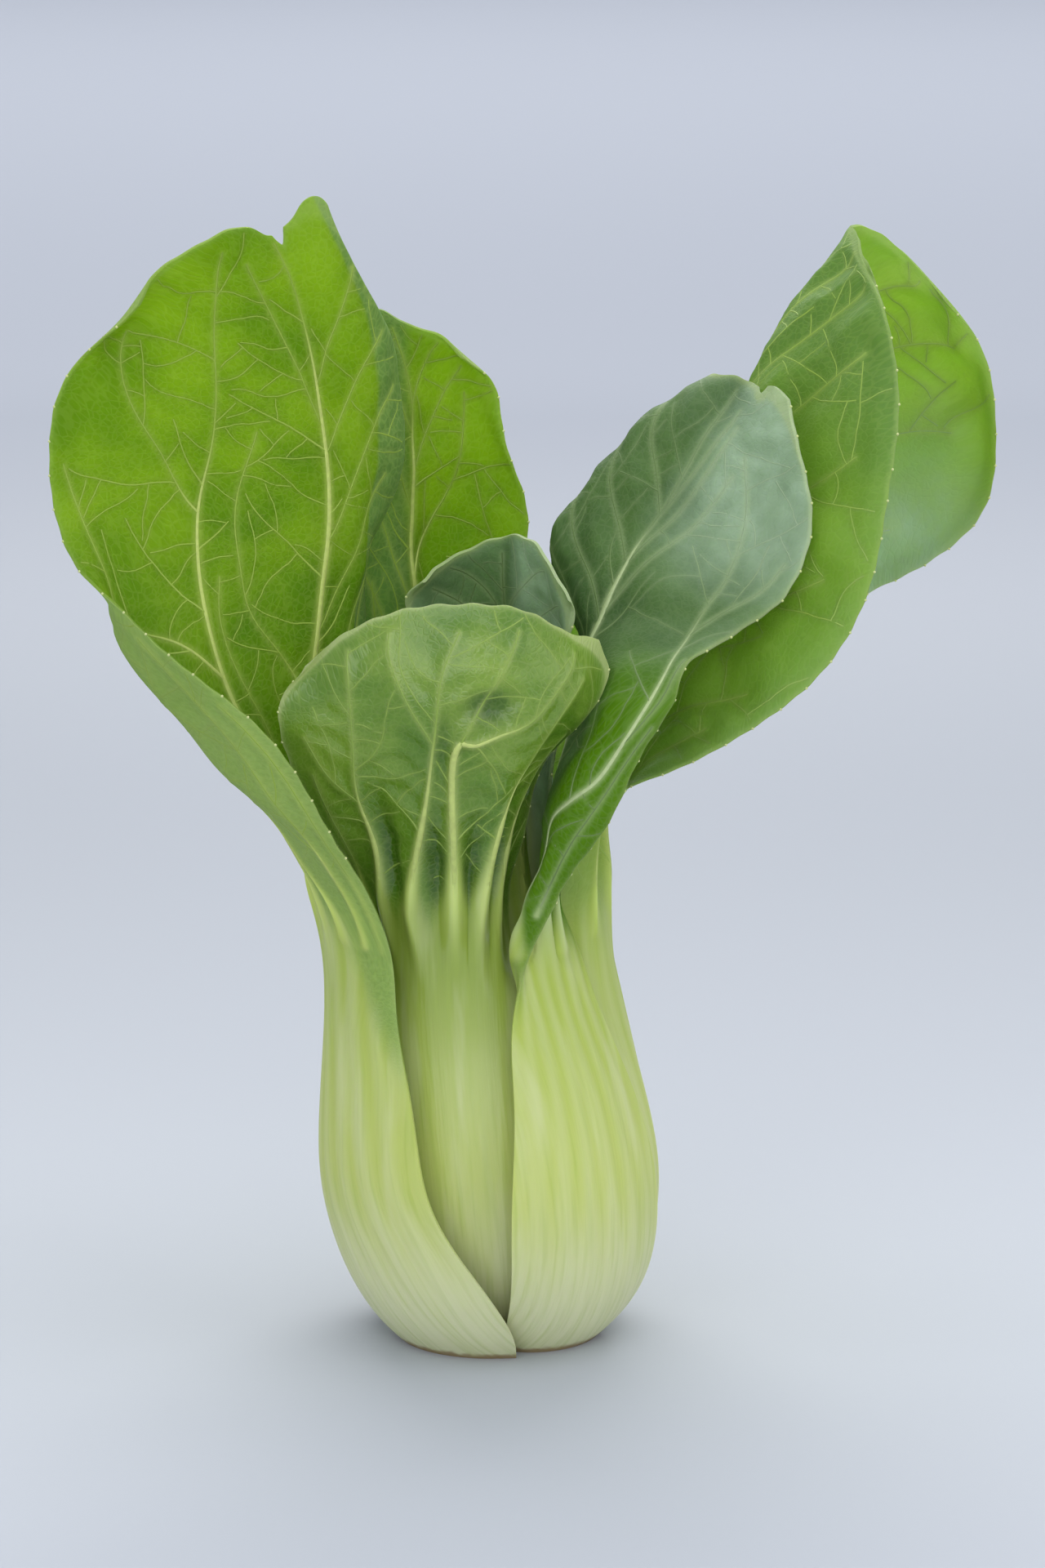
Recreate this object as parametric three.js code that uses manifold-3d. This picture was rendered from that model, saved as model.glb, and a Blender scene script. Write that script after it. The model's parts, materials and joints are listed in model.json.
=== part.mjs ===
// Head of bok choy: spoon-shaped leaves whose thick stalks wrap round a cut stump.
// Millimetres, +Z up, the cut base lies in the plane z = 0, the viewer's side is -Y.

import * as THREE from "three";
import Module from "manifold-3d";
import { mergeVertices } from "three/addons/utils/BufferGeometryUtils.js";

const wasm = await Module();
wasm.setup();

// Driving sizes of the head
const bulbHeights = [-3, 4, 14, 28, 44, 58];
const bulbRadii = [15, 22.5, 28, 30.2, 28, 25.6];
const axisLean = 0.085;
const leanStart = 16;
const whorlScale = [1, 0.778, 0.575, 0.38];
const whorlFoot = [-3, 1.6, 7.2, 9.5];
const stalkThickness = [4.8, 4.1, 3.1, 2.3];
const stalkEdge = 1.3;
const bladeThickness = 0.9;
const ribRise = 2.4;
const ridgeRise = 0.45;
const ridgeCount = 7;
const marginWave = 0.7;
const stumpRadius = 9.6;
const neckRadius = 7.1;
const stumpHeight = 6.6;

// Photo colours of the stalks and blades
const colours = {
  leaf_green: "#7ea43f",
  leaf_bloom: "#5f8a58",
  heart_green: "#9cbd55",
  stump_white: "#dfe3bb",
};

const guides = 7;
const rad = Math.PI / 180;

// Each leaf is one sheet drawn through rows of seven guide points, margin to margin.
// "edges" are the stalk's two side angles round the bulb at the bulb heights.
const leaves = {
  leaf_outer_front_left: {
    whorl: 0, side: -1, rib: 4, columns: 15, lines: 27, colour: "leaf_green", tuck: [0, 3],
    edges: [[-76, -176], [-80, -178], [-92, -180], [-108, -184], [-112, -188], [-118, -192]],
    blade: [
      [[-16, -24, 70], [-20, -24, 72], [-24, -22, 73], [-27, -18, 74],
        [-28, -13, 74], [-28.5, -8, 74], [-28, -3, 73]],
      [[-20, -30, 82], [-24, -28, 83], [-28, -23, 82], [-30, -16, 83],
        [-30, -9, 83], [-29, -4, 84], [-28, 1, 84]],
      [[-26, -34, 94], [-30, -31, 92], [-35, -24, 92], [-36, -15, 93],
        [-30, -7, 95], [-26, 0, 98], [-23, 6, 101]],
      [[-35, -36, 108], [-39, -32, 104], [-45, -24, 101], [-41, -14, 107],
        [-30, -5, 108], [-24, 2, 113], [-22, 8, 115]],
      [[-47, -34, 119], [-50, -30, 116], [-53, -22, 112], [-46, -13, 119],
        [-28, -2, 122], [-22, 4, 127], [-22, 10, 127]],
      [[-57, -28, 125], [-59, -25, 124], [-61, -18, 122], [-48, -10, 129],
        [-26, 1, 134], [-20, 6, 140], [-17, 13, 138]],
      [[-66, -20, 132], [-64, -17, 132], [-60, -12, 134], [-49, -7, 140],
        [-26, 3, 145], [-19, 7, 151], [-15, 13, 150]],
      [[-71, -15, 144], [-67, -12, 148], [-60, -9, 151], [-45, -4, 154],
        [-28, 3, 157], [-19, 7, 161], [-15, 13, 160]],
      [[-71, -14, 159], [-66, -11, 162], [-58, -8, 166], [-44, -3, 169],
        [-30, 2, 169], [-20, 5, 171], [-18, 10, 167]],
      [[-64, -14, 167], [-59, -11, 172], [-53, -8, 176], [-42, -4, 179],
        [-32, 1, 178], [-24, 3, 181], [-22, 6, 176]],
      [[-57, -14, 175], [-54, -12, 180], [-47, -9, 184], [-40, -5, 187],
        [-35, -1, 184], [-29, 1, 192], [-26, 3, 186]],
    ],
  },
  leaf_outer_front_right: {
    whorl: 0, side: 1, rib: 3, columns: 15, lines: 27, colour: "leaf_bloom", tuck: [1, 0],
    edges: [[-84, -14, 5.4], [-84, -14, 3.9], [-83, -18, 1], [-82, -19, 0], [-77, -22, 0], [-75, -33, 0]],
    blade: [
      [[6, -25, 70], [5, -25, 71], [5, -24, 72], [8, -22, 72],
        [11, -20, 71], [13, -17, 71], [14, -14, 70]],
      [[9, -28, 77], [7, -28, 78], [5, -26, 78], [8, -20, 77],
        [10, -17, 77], [11, -14, 77], [11, -10, 76]],
      [[13, -30, 85], [10, -31, 86], [7, -28, 86], [9, -17, 84],
        [10, -13, 84], [11, -9, 85], [11, -5, 85]],
      [[19, -31, 95], [14, -33, 95], [10, -28, 94], [11, -14, 93],
        [13, -8, 94], [14, -3, 95], [15, 2, 96]],
      [[24, -30, 104], [19, -32, 104], [14, -28, 103], [13, -12, 104],
        [15, -3, 106], [16, 3, 108], [17, 8, 109]],
      [[29, -26, 112], [25, -28, 112], [20, -26, 112], [15, -9, 112],
        [15, 1, 115], [15, 7, 118], [17, 12, 118]],
      [[32, -22, 119], [29, -21, 118], [24, -17, 118], [17, -5, 121],
        [13, 4, 124], [11, 10, 126], [15, 16, 124]],
      [[40, -16, 122], [34, -13, 123], [27, -9, 126], [22, -2, 129],
        [12, 7, 131], [9, 13, 133], [14, 19, 129]],
      [[48, -11, 126], [42, -7, 130], [33, -4, 132], [26, 1, 136],
        [17, 8, 139], [13, 14, 139], [19, 21, 134]],
      [[52, -9, 138], [46, -4, 139], [38, -1, 142], [32, 3, 144],
        [23, 9, 147], [21, 15, 148], [26, 22, 143]],
      [[51, -6, 149], [46, -2, 150], [40, 1, 151], [36, 5, 152],
        [30, 10, 154], [28, 15, 155], [33, 21, 150]],
      [[48, -2, 158], [46, 1, 160], [44, 3, 159], [42, 7, 160],
        [38, 11, 160], [36, 15, 159], [38, 19, 156]],
    ],
  },
  leaf_outer_right: {
    whorl: 0, side: 1, rib: 3, columns: 15, lines: 27, colour: "leaf_green", tuck: [4.7, 0],
    edges: [[-20, 52], [-20, 52], [-23, 50], [-25, 48], [-28, 46], [-41, 44]],
    blade: [
      [[12.4, -10.8, 71], [15.6, -9.6, 71], [18.5, -5, 71], [19, 1, 70],
        [18, 8, 69], [17, 14, 68], [15, 19, 68]],
      [[12.2, -11.6, 78], [15.4, -10.6, 78], [17.5, -6, 77], [18, 2, 76],
        [17, 10, 76], [16, 16, 75], [15, 21, 75]],
      [[13, -12, 85], [15.4, -10.8, 85], [17, -5, 85], [17, 5, 86],
        [17, 13, 85], [18, 20, 85], [19, 26, 84]],
      [[20, -10, 93], [20, -8, 93], [18, -2, 94], [18, 8, 96], [21, 18, 95], [25, 26, 94], [30, 32, 92]],
      [[30, -12, 99], [27, -6, 100], [23, 2, 103], [22, 11, 106],
        [27, 23, 103], [34, 31, 100], [41, 37, 99]],
      [[44, -14, 106], [37, -6, 110], [30, 4, 115], [27, 14, 118],
        [34, 27, 115], [44, 36, 110], [52, 40, 108]],
      [[54, -14, 115], [46, -5, 122], [36, 6, 128], [32, 16, 132],
        [41, 31, 127], [54, 40, 120], [64, 42, 118]],
      [[62, -12, 130], [52, -3, 136], [42, 8, 143], [36, 19, 145],
        [48, 34, 140], [64, 43, 133], [74, 40, 123]],
      [[65, -8, 145], [56, 1, 151], [47, 12, 156], [42, 22, 159],
        [55, 36, 155], [72, 43, 147], [83, 36, 132]],
      [[66, -3, 159], [59, 5, 164], [52, 15, 167], [48, 24, 168],
        [62, 36, 168], [77, 41, 160], [86, 36, 144]],
      [[65, 4, 171], [61, 10, 174], [57, 18, 176], [55, 26, 177],
        [64, 34, 176], [75, 38, 168], [84, 36, 159]],
      [[62, 12, 177], [61, 17, 180], [61, 22, 182], [60, 27, 183],
        [64, 32, 182], [69, 35, 178], [76, 36, 170]],
    ],
  },
  leaf_outer_back_left: {
    whorl: 0, side: -1, rib: 3, columns: 13, lines: 22, colour: "leaf_green", tuck: [0, 0],
    edges: [[166, 86], [166, 84], [164, 84], [160, 84], [154, 85], [146, 87]],
    blade: [
      [[-18, 15, 70], [-16, 18, 70], [-13, 21, 70], [-9, 23, 70],
        [-6, 24, 70], [-3, 23, 70], [-1, 22, 70]],
      [[-20, 16, 82], [-17, 20, 82], [-14, 24, 83], [-9, 26, 83],
        [-6, 27, 82], [-3, 26, 81], [-1.5, 24, 80]],
      [[-22, 16, 100], [-20, 19, 101], [-16, 22, 102], [-11, 25, 103],
        [-5, 28, 100], [-1, 28, 99], [4, 26, 98]],
      [[-24, 17, 115], [-21, 19, 117], [-18, 21, 119], [-14, 24, 120],
        [-7, 28, 117], [0, 29, 115], [5, 27, 115]],
      [[-23, 17, 126], [-21, 19, 130], [-18, 21, 133], [-14, 24, 133],
        [-7, 28, 131], [0, 29, 129], [6, 27, 130]],
      [[-21, 17, 136], [-20, 19, 140], [-17, 21, 144], [-14, 23, 145],
        [-7, 27, 144], [0, 28, 142], [5, 26, 139]],
      [[-21, 17, 146], [-19, 19, 149], [-16, 21, 152], [-14, 22, 154],
        [-8, 25, 155], [-2, 26, 153], [2, 25, 149]],
      [[-21, 17, 155], [-19, 19, 159], [-17, 20, 160], [-15, 21, 161],
        [-10, 23, 162], [-5, 24, 161], [0, 23, 157]],
      [[-22, 18, 164], [-21, 18, 168], [-20, 19, 170], [-18, 19, 170],
        [-13, 20, 167], [-9, 21, 166], [-4, 21, 162]],
    ],
  },
  leaf_outer_back_right: {
    whorl: 0, side: 1, rib: 3, columns: 11, lines: 17, colour: "leaf_green", tuck: [0, 0],
    edges: [[56, 80], [56, 80], [54, 80], [52, 80], [51, 80], [50, 79]],
    azimuth: 66,
    cups: [
      [72, 5, 18, 11, 0], [86, 10, 20, 24, 1], [100, 14, 24, 34, 3],
      [111, 20, 24, 34, 5], [118, 24, 22, 20, 4],
    ],
  },
  leaf_middle_front: {
    whorl: 1, side: -1, rib: 3, columns: 15, lines: 23, colour: "leaf_green", tuck: [0, 0],
    edges: [[-42, -148], [-44, -146], [-46, -144], [-50, -140], [-55, -136], [-60, -132]],
    blade: [
      [[3, -14, 70], [1, -18, 72], [-2, -20, 72], [-6, -21, 72],
        [-11, -20, 72], [-15, -17, 71], [-18, -12, 70]],
      [[3, -15, 80], [1, -20, 81], [-1, -24, 82], [-6, -26, 82],
        [-12, -24, 82], [-18, -20, 81], [-22, -16, 81]],
      [[5, -18, 90], [3, -24, 92], [1, -29, 93], [-6, -31, 93],
        [-13, -28, 93], [-20, -24, 92], [-26, -21, 90]],
      [[9, -21, 101], [7, -28, 103], [3, -34, 104], [-6, -36, 104],
        [-14, -33, 104], [-23, -29, 102], [-32, -26, 100]],
      [[14, -23.5, 109], [11, -31, 111], [5, -36, 114], [-5, -38, 115],
        [-15, -36, 114], [-25, -32, 112], [-34, -29, 109]],
      [[20, -23, 116.5], [14, -29, 119], [6, -35, 122], [-5, -37, 123],
        [-16, -35, 122], [-25, -32, 119], [-33, -29, 115]],
      [[17, -22, 122], [12, -27, 124], [5, -32, 129], [-5, -34, 130],
        [-14, -33, 129], [-23, -31, 125], [-30, -28, 119]],
    ],
  },
  leaf_middle_right: {
    whorl: 1, side: -1, rib: 3, columns: 13, lines: 20, colour: "leaf_bloom", tuck: [0.6, 1.2],
    edges: [[96, 2], [96, 2], [96, 4], [96, 6], [92, 8], [88, 10]],
    blade: [
      [[-1, 14, 70], [2, 15.5, 70], [5, 15.5, 70], [8, 14, 70], [10, 11, 71], [11, 7, 72], [12, 2, 72]],
      [[-2, 13, 86], [1, 15, 86], [4, 15.5, 87], [7, 14, 87], [9, 10, 87], [10, 4, 87], [10, 0, 87]],
      [[-8, 8, 102], [-4, 12, 103], [1, 14, 104], [5, 12, 104], [8, 6, 103], [10, 1, 103], [10, -4, 102]],
      [[-13, 3, 117], [-8, 8, 117], [-2, 11, 117], [3, 9, 117],
        [8, 3, 117], [11, -3, 116], [13, -8, 116]],
      [[-14, 0, 124], [-10, 5, 125], [-4, 8, 126], [2, 6, 126],
        [7, 0, 126], [11, -6, 124], [13, -10, 122]],
      [[-12, -1, 128], [-9, 2, 130], [-5, 4, 132], [2, 3, 135],
        [7, -2, 135], [10, -7, 131], [13, -11, 126]],
    ],
  },
  leaf_middle_left: {
    whorl: 1, side: -1, rib: 3, columns: 11, lines: 17, colour: "leaf_green", tuck: [2.5, 0],
    edges: [[210, 122], [210, 122], [208, 124], [204, 128], [198, 136], [190, 146]],
    azimuth: 160,
    cups: [
      [74, 4, 18, 17, 0], [88, 12, 19, 30, 1], [104, 18, 24, 34, 2],
      [122, 24, 26, 36, 4], [138, 30, 24, 32, 6], [148, 34, 20, 22, 5],
    ],
  },
  heart_leaf_right: {
    whorl: 2, side: 1, rib: 3, columns: 9, lines: 13, colour: "heart_green", tuck: [0, 2],
    edges: [[-84, 30], [-84, 30], [-80, 28], [-76, 26], [-72, 20], [-68, 14]],
    azimuth: -28,
    cups: [[72, 0, 12, 50, 0], [86, 0, 11.5, 52, 1], [97, 1, 11, 46, 3], [104, 2, 9, 28, 3]],
  },
  heart_leaf_back: {
    whorl: 2, side: 1, rib: 3, columns: 9, lines: 13, colour: "heart_green", tuck: [0, 2],
    edges: [[36, 150], [36, 150], [40, 148], [44, 146], [52, 142], [60, 138]],
    azimuth: 100,
    cups: [[72, 0, 12, 46, 0], [86, -1, 11, 46, 1], [96, -2, 10.5, 40, 3], [102, -2, 9, 26, 3]],
  },
  heart_leaf_left: {
    whorl: 2, side: 1, rib: 3, columns: 9, lines: 13, colour: "heart_green", tuck: [0, 2],
    edges: [[156, 270], [156, 270], [158, 268], [162, 266], [166, 262], [170, 256]],
    azimuth: -146,
    cups: [[72, 0, 12, 50, 0], [88, 1, 12, 54, 1], [101, 2, 12, 46, 3], [109, 4, 10, 28, 3]],
  },
  heart_bud_right: {
    whorl: 3, side: 1, rib: 3, columns: 9, lines: 10, colour: "heart_green", tuck: [0, 0],
    edges: [[-60, 80], [-60, 80], [-60, 80], [-60, 80], [-56, 76], [-50, 70]],
    azimuth: 10,
    cups: [[70, 0, 7, 56, 0], [79, 0, 6, 52, 2], [85, 0, 4.5, 34, 2]],
  },
  heart_bud_left: {
    whorl: 3, side: 1, rib: 3, columns: 9, lines: 10, colour: "heart_green", tuck: [0, 0],
    edges: [[120, 260], [120, 260], [120, 260], [120, 260], [124, 256], [130, 250]],
    azimuth: -170,
    cups: [[70, 0, 7, 56, 0], [82, 0, 6, 52, 2], [90, 0, 4.5, 34, 2]],
  },
};

const clamp = (x) => Math.min(1, Math.max(0, x));
const smooth = (a, b, x) => clamp((x - a) / (b - a)) ** 2 * (3 - 2 * clamp((x - a) / (b - a)));
const axisX = (z) => -axisLean * Math.max(0, z - leanStart);

// A point on a ring of radius r round the leaning axis
function ringPoint(z, r, angle) {
  return [axisX(z) + r * Math.cos(angle * rad), r * Math.sin(angle * rad), z];
}

// Rows of guide points up the stalk, hugging the bulb, the tucked side a little deeper
function stalkRows(leaf) {
  const foot = whorlFoot[leaf.whorl];
  const stretch = (58 - foot) / 61;
  return bulbHeights.map((height, i) => {
    const z = foot + (height + 3) * stretch;
    const [start, end, startDip = leaf.tuck[0]] = leaf.edges[i];
    const radius = bulbRadii[i] * whorlScale[leaf.whorl];
    return Array.from({ length: guides }, (_, k) => {
      const f = k / (guides - 1);
      const dip = startDip * (1 - f) ** 3 + leaf.tuck[1] * f ** 3;
      return ringPoint(z, radius - dip, start + (end - start) * f);
    });
  });
}

// Rows of a plain spoon-shaped blade: height, shift outward, curl radius, half angle, drop of the edges
function cupRows(leaf) {
  const out = [Math.cos(leaf.azimuth * rad), Math.sin(leaf.azimuth * rad)];
  return leaf.cups.map(([z, shift, radius, half, drop]) =>
    Array.from({ length: guides }, (_, k) => {
      const f = (2 * k) / (guides - 1) - 1;
      const [x, y] = ringPoint(z, radius, leaf.azimuth + leaf.side * f * half);
      return [x + out[0] * shift, y + out[1] * shift, z - drop * f * f];
    }));
}

// Smooth curve through the values at 0, 1, 2 ...
function curve(values, t) {
  const last = values.length - 1;
  const i = Math.min(last - 1, Math.floor(t));
  const f = t - i;
  const at = (k) => {
    if (k < 0) return values[0].map((v, n) => 2 * v - values[1][n]);
    if (k > last) return values[last].map((v, n) => 2 * v - values[last - 1][n]);
    return values[k];
  };
  const [a, b, c, d] = [at(i - 1), at(i), at(i + 1), at(i + 2)];
  return a.map((_, n) => {
    const linear = c[n] - a[n];
    const square = 2 * a[n] - 5 * b[n] + 4 * c[n] - d[n];
    const cubic = 3 * b[n] - a[n] - 3 * c[n] + d[n];
    return 0.5 * (2 * b[n] + linear * f + square * f ** 2 + cubic * f ** 3);
  });
}

// The sheet's point at row s and guide u
function sheet(rows, s, u) {
  const at = (k) => rows[Math.min(rows.length - 1, Math.max(0, k))];
  const i = Math.min(rows.length - 2, Math.floor(s));
  const near = [i - 1, i, i + 1, i + 2].map((k) => {
    if (k < 0) return curve(rows[0], u).map((v, n) => 2 * v - curve(rows[1], u)[n]);
    if (k >= rows.length) return curve(at(k), u).map((v, n) => 2 * v - curve(at(k - 2), u)[n]);
    return curve(rows[k], u);
  });
  return new THREE.Vector3(...curve(near, 1 + s - i));
}

function sheetNormal(leaf, rows, s, u) {
  const e = 0.05;
  const along = sheet(rows, Math.min(rows.length - 1, s + e), u).sub(sheet(rows, Math.max(0, s - e), u));
  const across = sheet(rows, s, Math.min(guides - 1, u + e)).sub(sheet(rows, s, Math.max(0, u - e)));
  return across.cross(along).normalize().multiplyScalar(leaf.side);
}

// 0 down in the stalk, 1 out in the blade
const bladeShare = (s) => smooth(5.2, 7, s);

function thicknessAt(leaf, rows, s, u) {
  const middle = 1 - Math.abs((2 * u) / (guides - 1) - 1) ** 2.2;
  const stalk = stalkEdge + (stalkThickness[leaf.whorl] - stalkEdge) * middle;
  const way = clamp((s - 6) / (rows.length - 7));
  const scale = 0.5 + 0.5 * stalkThickness[leaf.whorl] / stalkThickness[0];
  const rib = ribRise * scale * (1 - way) ** 1.2 * Math.exp(-(((u - leaf.rib) / 0.5) ** 2));
  return THREE.MathUtils.lerp(stalk, bladeThickness + rib, bladeShare(s));
}

// Long ridges on the outer side, fading out in the blade and at the foot
function ridgeAt(rows, s, u) {
  const way = clamp((s - 6) / (rows.length - 7));
  const fade = smooth(0.5, 2.5, s) * (1 - way) ** 1.5 * (1 - Math.abs((2 * u) / (guides - 1) - 1) ** 6);
  return ridgeRise * fade * (0.5 + 0.5 * Math.cos((2 * Math.PI * ridgeCount * u) / (guides - 1)));
}

// Gentle waves along the blade's margin
function waveAt(rows, s, u) {
  const side = Math.abs((2 * u) / (guides - 1) - 1);
  const edge = smooth(0.7, 1, side) * smooth(6.5, 8, s);
  return marginWave * edge * Math.sin(2 * Math.PI * 0.42 * s + 0.9 * u);
}

// Closed body between the outer face and the inner face of the sheet
function leafGeometry(leaf) {
  const rows = [...stalkRows(leaf), ...(leaf.blade ?? cupRows(leaf))];
  const { columns, lines } = leaf;
  const outer = [];
  const inner = [];
  for (let j = 0; j < lines; j++) {
    for (let i = 0; i < columns; i++) {
      const s = ((rows.length - 1) * j) / (lines - 1);
      const u = ((guides - 1) * i) / (columns - 1);
      const point = sheet(rows, s, u);
      const normal = sheetNormal(leaf, rows, s, u);
      const wave = waveAt(rows, s, u);
      outer.push(point.clone().addScaledVector(normal, wave + ridgeAt(rows, s, u)));
      inner.push(point.clone().addScaledVector(normal, wave - thicknessAt(leaf, rows, s, u)));
    }
  }
  const count = outer.length;
  const index = [];
  const quad = (a, b, c, d) => index.push(...(leaf.side > 0 ? [a, b, c, a, c, d] : [a, c, b, a, d, c]));
  for (let j = 0; j < lines - 1; j++) {
    for (let i = 0; i < columns - 1; i++) {
      const a = j * columns + i;
      quad(a, a + 1, a + columns + 1, a + columns);
      const [p, q, r, t] = [a, a + 1, a + columns + 1, a + columns].map((k) => k + count);
      index.push(...(leaf.side > 0 ? [p, r, q, p, t, r] : [p, q, r, p, r, t]));
    }
  }
  const rim = [];
  for (let i = 0; i < columns - 1; i++) rim.push(i);
  for (let j = 0; j < lines - 1; j++) rim.push(j * columns + columns - 1);
  for (let i = columns - 1; i > 0; i--) rim.push((lines - 1) * columns + i);
  for (let j = lines - 1; j > 0; j--) rim.push(j * columns);
  rim.forEach((a, k) => {
    const b = rim[(k + 1) % rim.length];
    quad(b, a, a + count, b + count);
  });
  const geometry = new THREE.BufferGeometry();
  const flat = [...outer, ...inner].flatMap((p) => p.toArray());
  geometry.setAttribute("position", new THREE.Float32BufferAttribute(flat, 3));
  geometry.setIndex(index);
  return geometry;
}

// Everything below the cut plane is taken away
function cutLevel(geometry) {
  const block = new THREE.BoxGeometry(120, 120, 20).translate(0, 0, -10);
  return toGeometry(toSolid(geometry).subtract(toSolid(block)));
}

function toSolid(geometry) {
  const plain = geometry.clone();
  plain.deleteAttribute("normal");
  plain.deleteAttribute("uv");
  const merged = mergeVertices(plain, 1e-4);
  return new wasm.Manifold(new wasm.Mesh({
    numProp: 3,
    vertProperties: new Float32Array(merged.attributes.position.array),
    triVerts: new Uint32Array(merged.index.array),
  }));
}

function toGeometry(solid) {
  const { vertProperties, triVerts } = solid.getMesh();
  const geometry = new THREE.BufferGeometry();
  geometry.setAttribute("position", new THREE.BufferAttribute(vertProperties, 3));
  geometry.setIndex(new THREE.BufferAttribute(triVerts, 1));
  return geometry;
}

// Pale stump with a flat cut face, the foot on which the leaves sit
function stumpGeometry() {
  const outline = [
    [0, 0], [stumpRadius, 0], [stumpRadius, 1.1],
    [neckRadius, 1.3], [5, stumpHeight - 0.8], [0, stumpHeight],
  ];
  const profile = outline.map(([r, z]) => new THREE.Vector2(r, z));
  return new THREE.LatheGeometry(profile, 20).rotateX(Math.PI / 2);
}

function material(slot) {
  return new THREE.MeshStandardMaterial({ color: colours[slot], roughness: 0.5, metalness: 0 });
}

const head = new THREE.Group();
head.name = "bok_choy";

function addPart(name, geometry, slot) {
  geometry.computeVertexNormals();
  const mesh = new THREE.Mesh(geometry, material(slot));
  mesh.name = name;
  head.add(mesh);
}

addPart("stem_core", toGeometry(toSolid(stumpGeometry())), "stump_white");
for (const [name, leaf] of Object.entries(leaves)) {
  const geometry = leafGeometry(leaf);
  addPart(name, leaf.whorl === 0 ? cutLevel(geometry) : geometry, leaf.colour);
}

export default head;
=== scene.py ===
import json
import math
import random

import bpy
import numpy as np
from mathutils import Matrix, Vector
from mathutils.kdtree import KDTree

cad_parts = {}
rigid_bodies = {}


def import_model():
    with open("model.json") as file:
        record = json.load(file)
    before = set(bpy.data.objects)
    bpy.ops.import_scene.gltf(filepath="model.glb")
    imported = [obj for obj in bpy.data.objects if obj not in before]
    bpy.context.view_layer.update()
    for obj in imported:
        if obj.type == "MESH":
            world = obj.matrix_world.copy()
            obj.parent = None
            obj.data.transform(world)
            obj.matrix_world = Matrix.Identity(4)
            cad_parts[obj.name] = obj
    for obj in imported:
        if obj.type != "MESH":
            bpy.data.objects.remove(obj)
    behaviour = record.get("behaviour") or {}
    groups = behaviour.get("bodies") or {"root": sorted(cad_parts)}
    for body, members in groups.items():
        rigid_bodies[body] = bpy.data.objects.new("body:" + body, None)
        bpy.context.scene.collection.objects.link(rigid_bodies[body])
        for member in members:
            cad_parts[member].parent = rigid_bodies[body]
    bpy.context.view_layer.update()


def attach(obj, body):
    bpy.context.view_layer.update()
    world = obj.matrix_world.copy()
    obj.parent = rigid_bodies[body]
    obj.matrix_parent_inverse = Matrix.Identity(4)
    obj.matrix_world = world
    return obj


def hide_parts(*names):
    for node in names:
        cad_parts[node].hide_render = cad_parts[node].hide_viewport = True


for spare in list(bpy.data.objects):
    bpy.data.objects.remove(spare)  # the start-up cube, lamp and camera
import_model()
mm = 0.001
guides = 7  # guide points across a leaf

# The bulb that the stalks wrap round, in millimetres, as in the solids
bulb = {
    "heights": [-3, 4, 14, 28, 44, 58],
    "radii": [15, 22.5, 28, 30.2, 28, 25.6],
    "lean": 0.085,
    "leanStart": 16,
    "whorlScale": [1, 0.778, 0.575, 0.38],
    "whorlFoot": [-3, 1.6, 7.2, 9.5],
    "stalkThickness": [4.8, 4.1, 3.1, 2.3],
    "stalkEdge": 1.2,
    "bladeThickness": 0.55,
    "midribRise": 1.5,
    "ridges": 7,
    "ridgeRise": 0.13,
}

# Values that a leaf has unless its own entry below says otherwise
usualLeaf = {
    "rib": 3, "slot": "leaf_green", "tuck": [0, 0],
    "cord": 1, "wedge": 0, "bladeStart": (5.2, 7.6), "pillow": 0.4, "ripple": 0, "ridge": 1,
    "flare": (0, 0, 1), "nicks": [], "pockets": [], "sideVeins": [],
}

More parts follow.
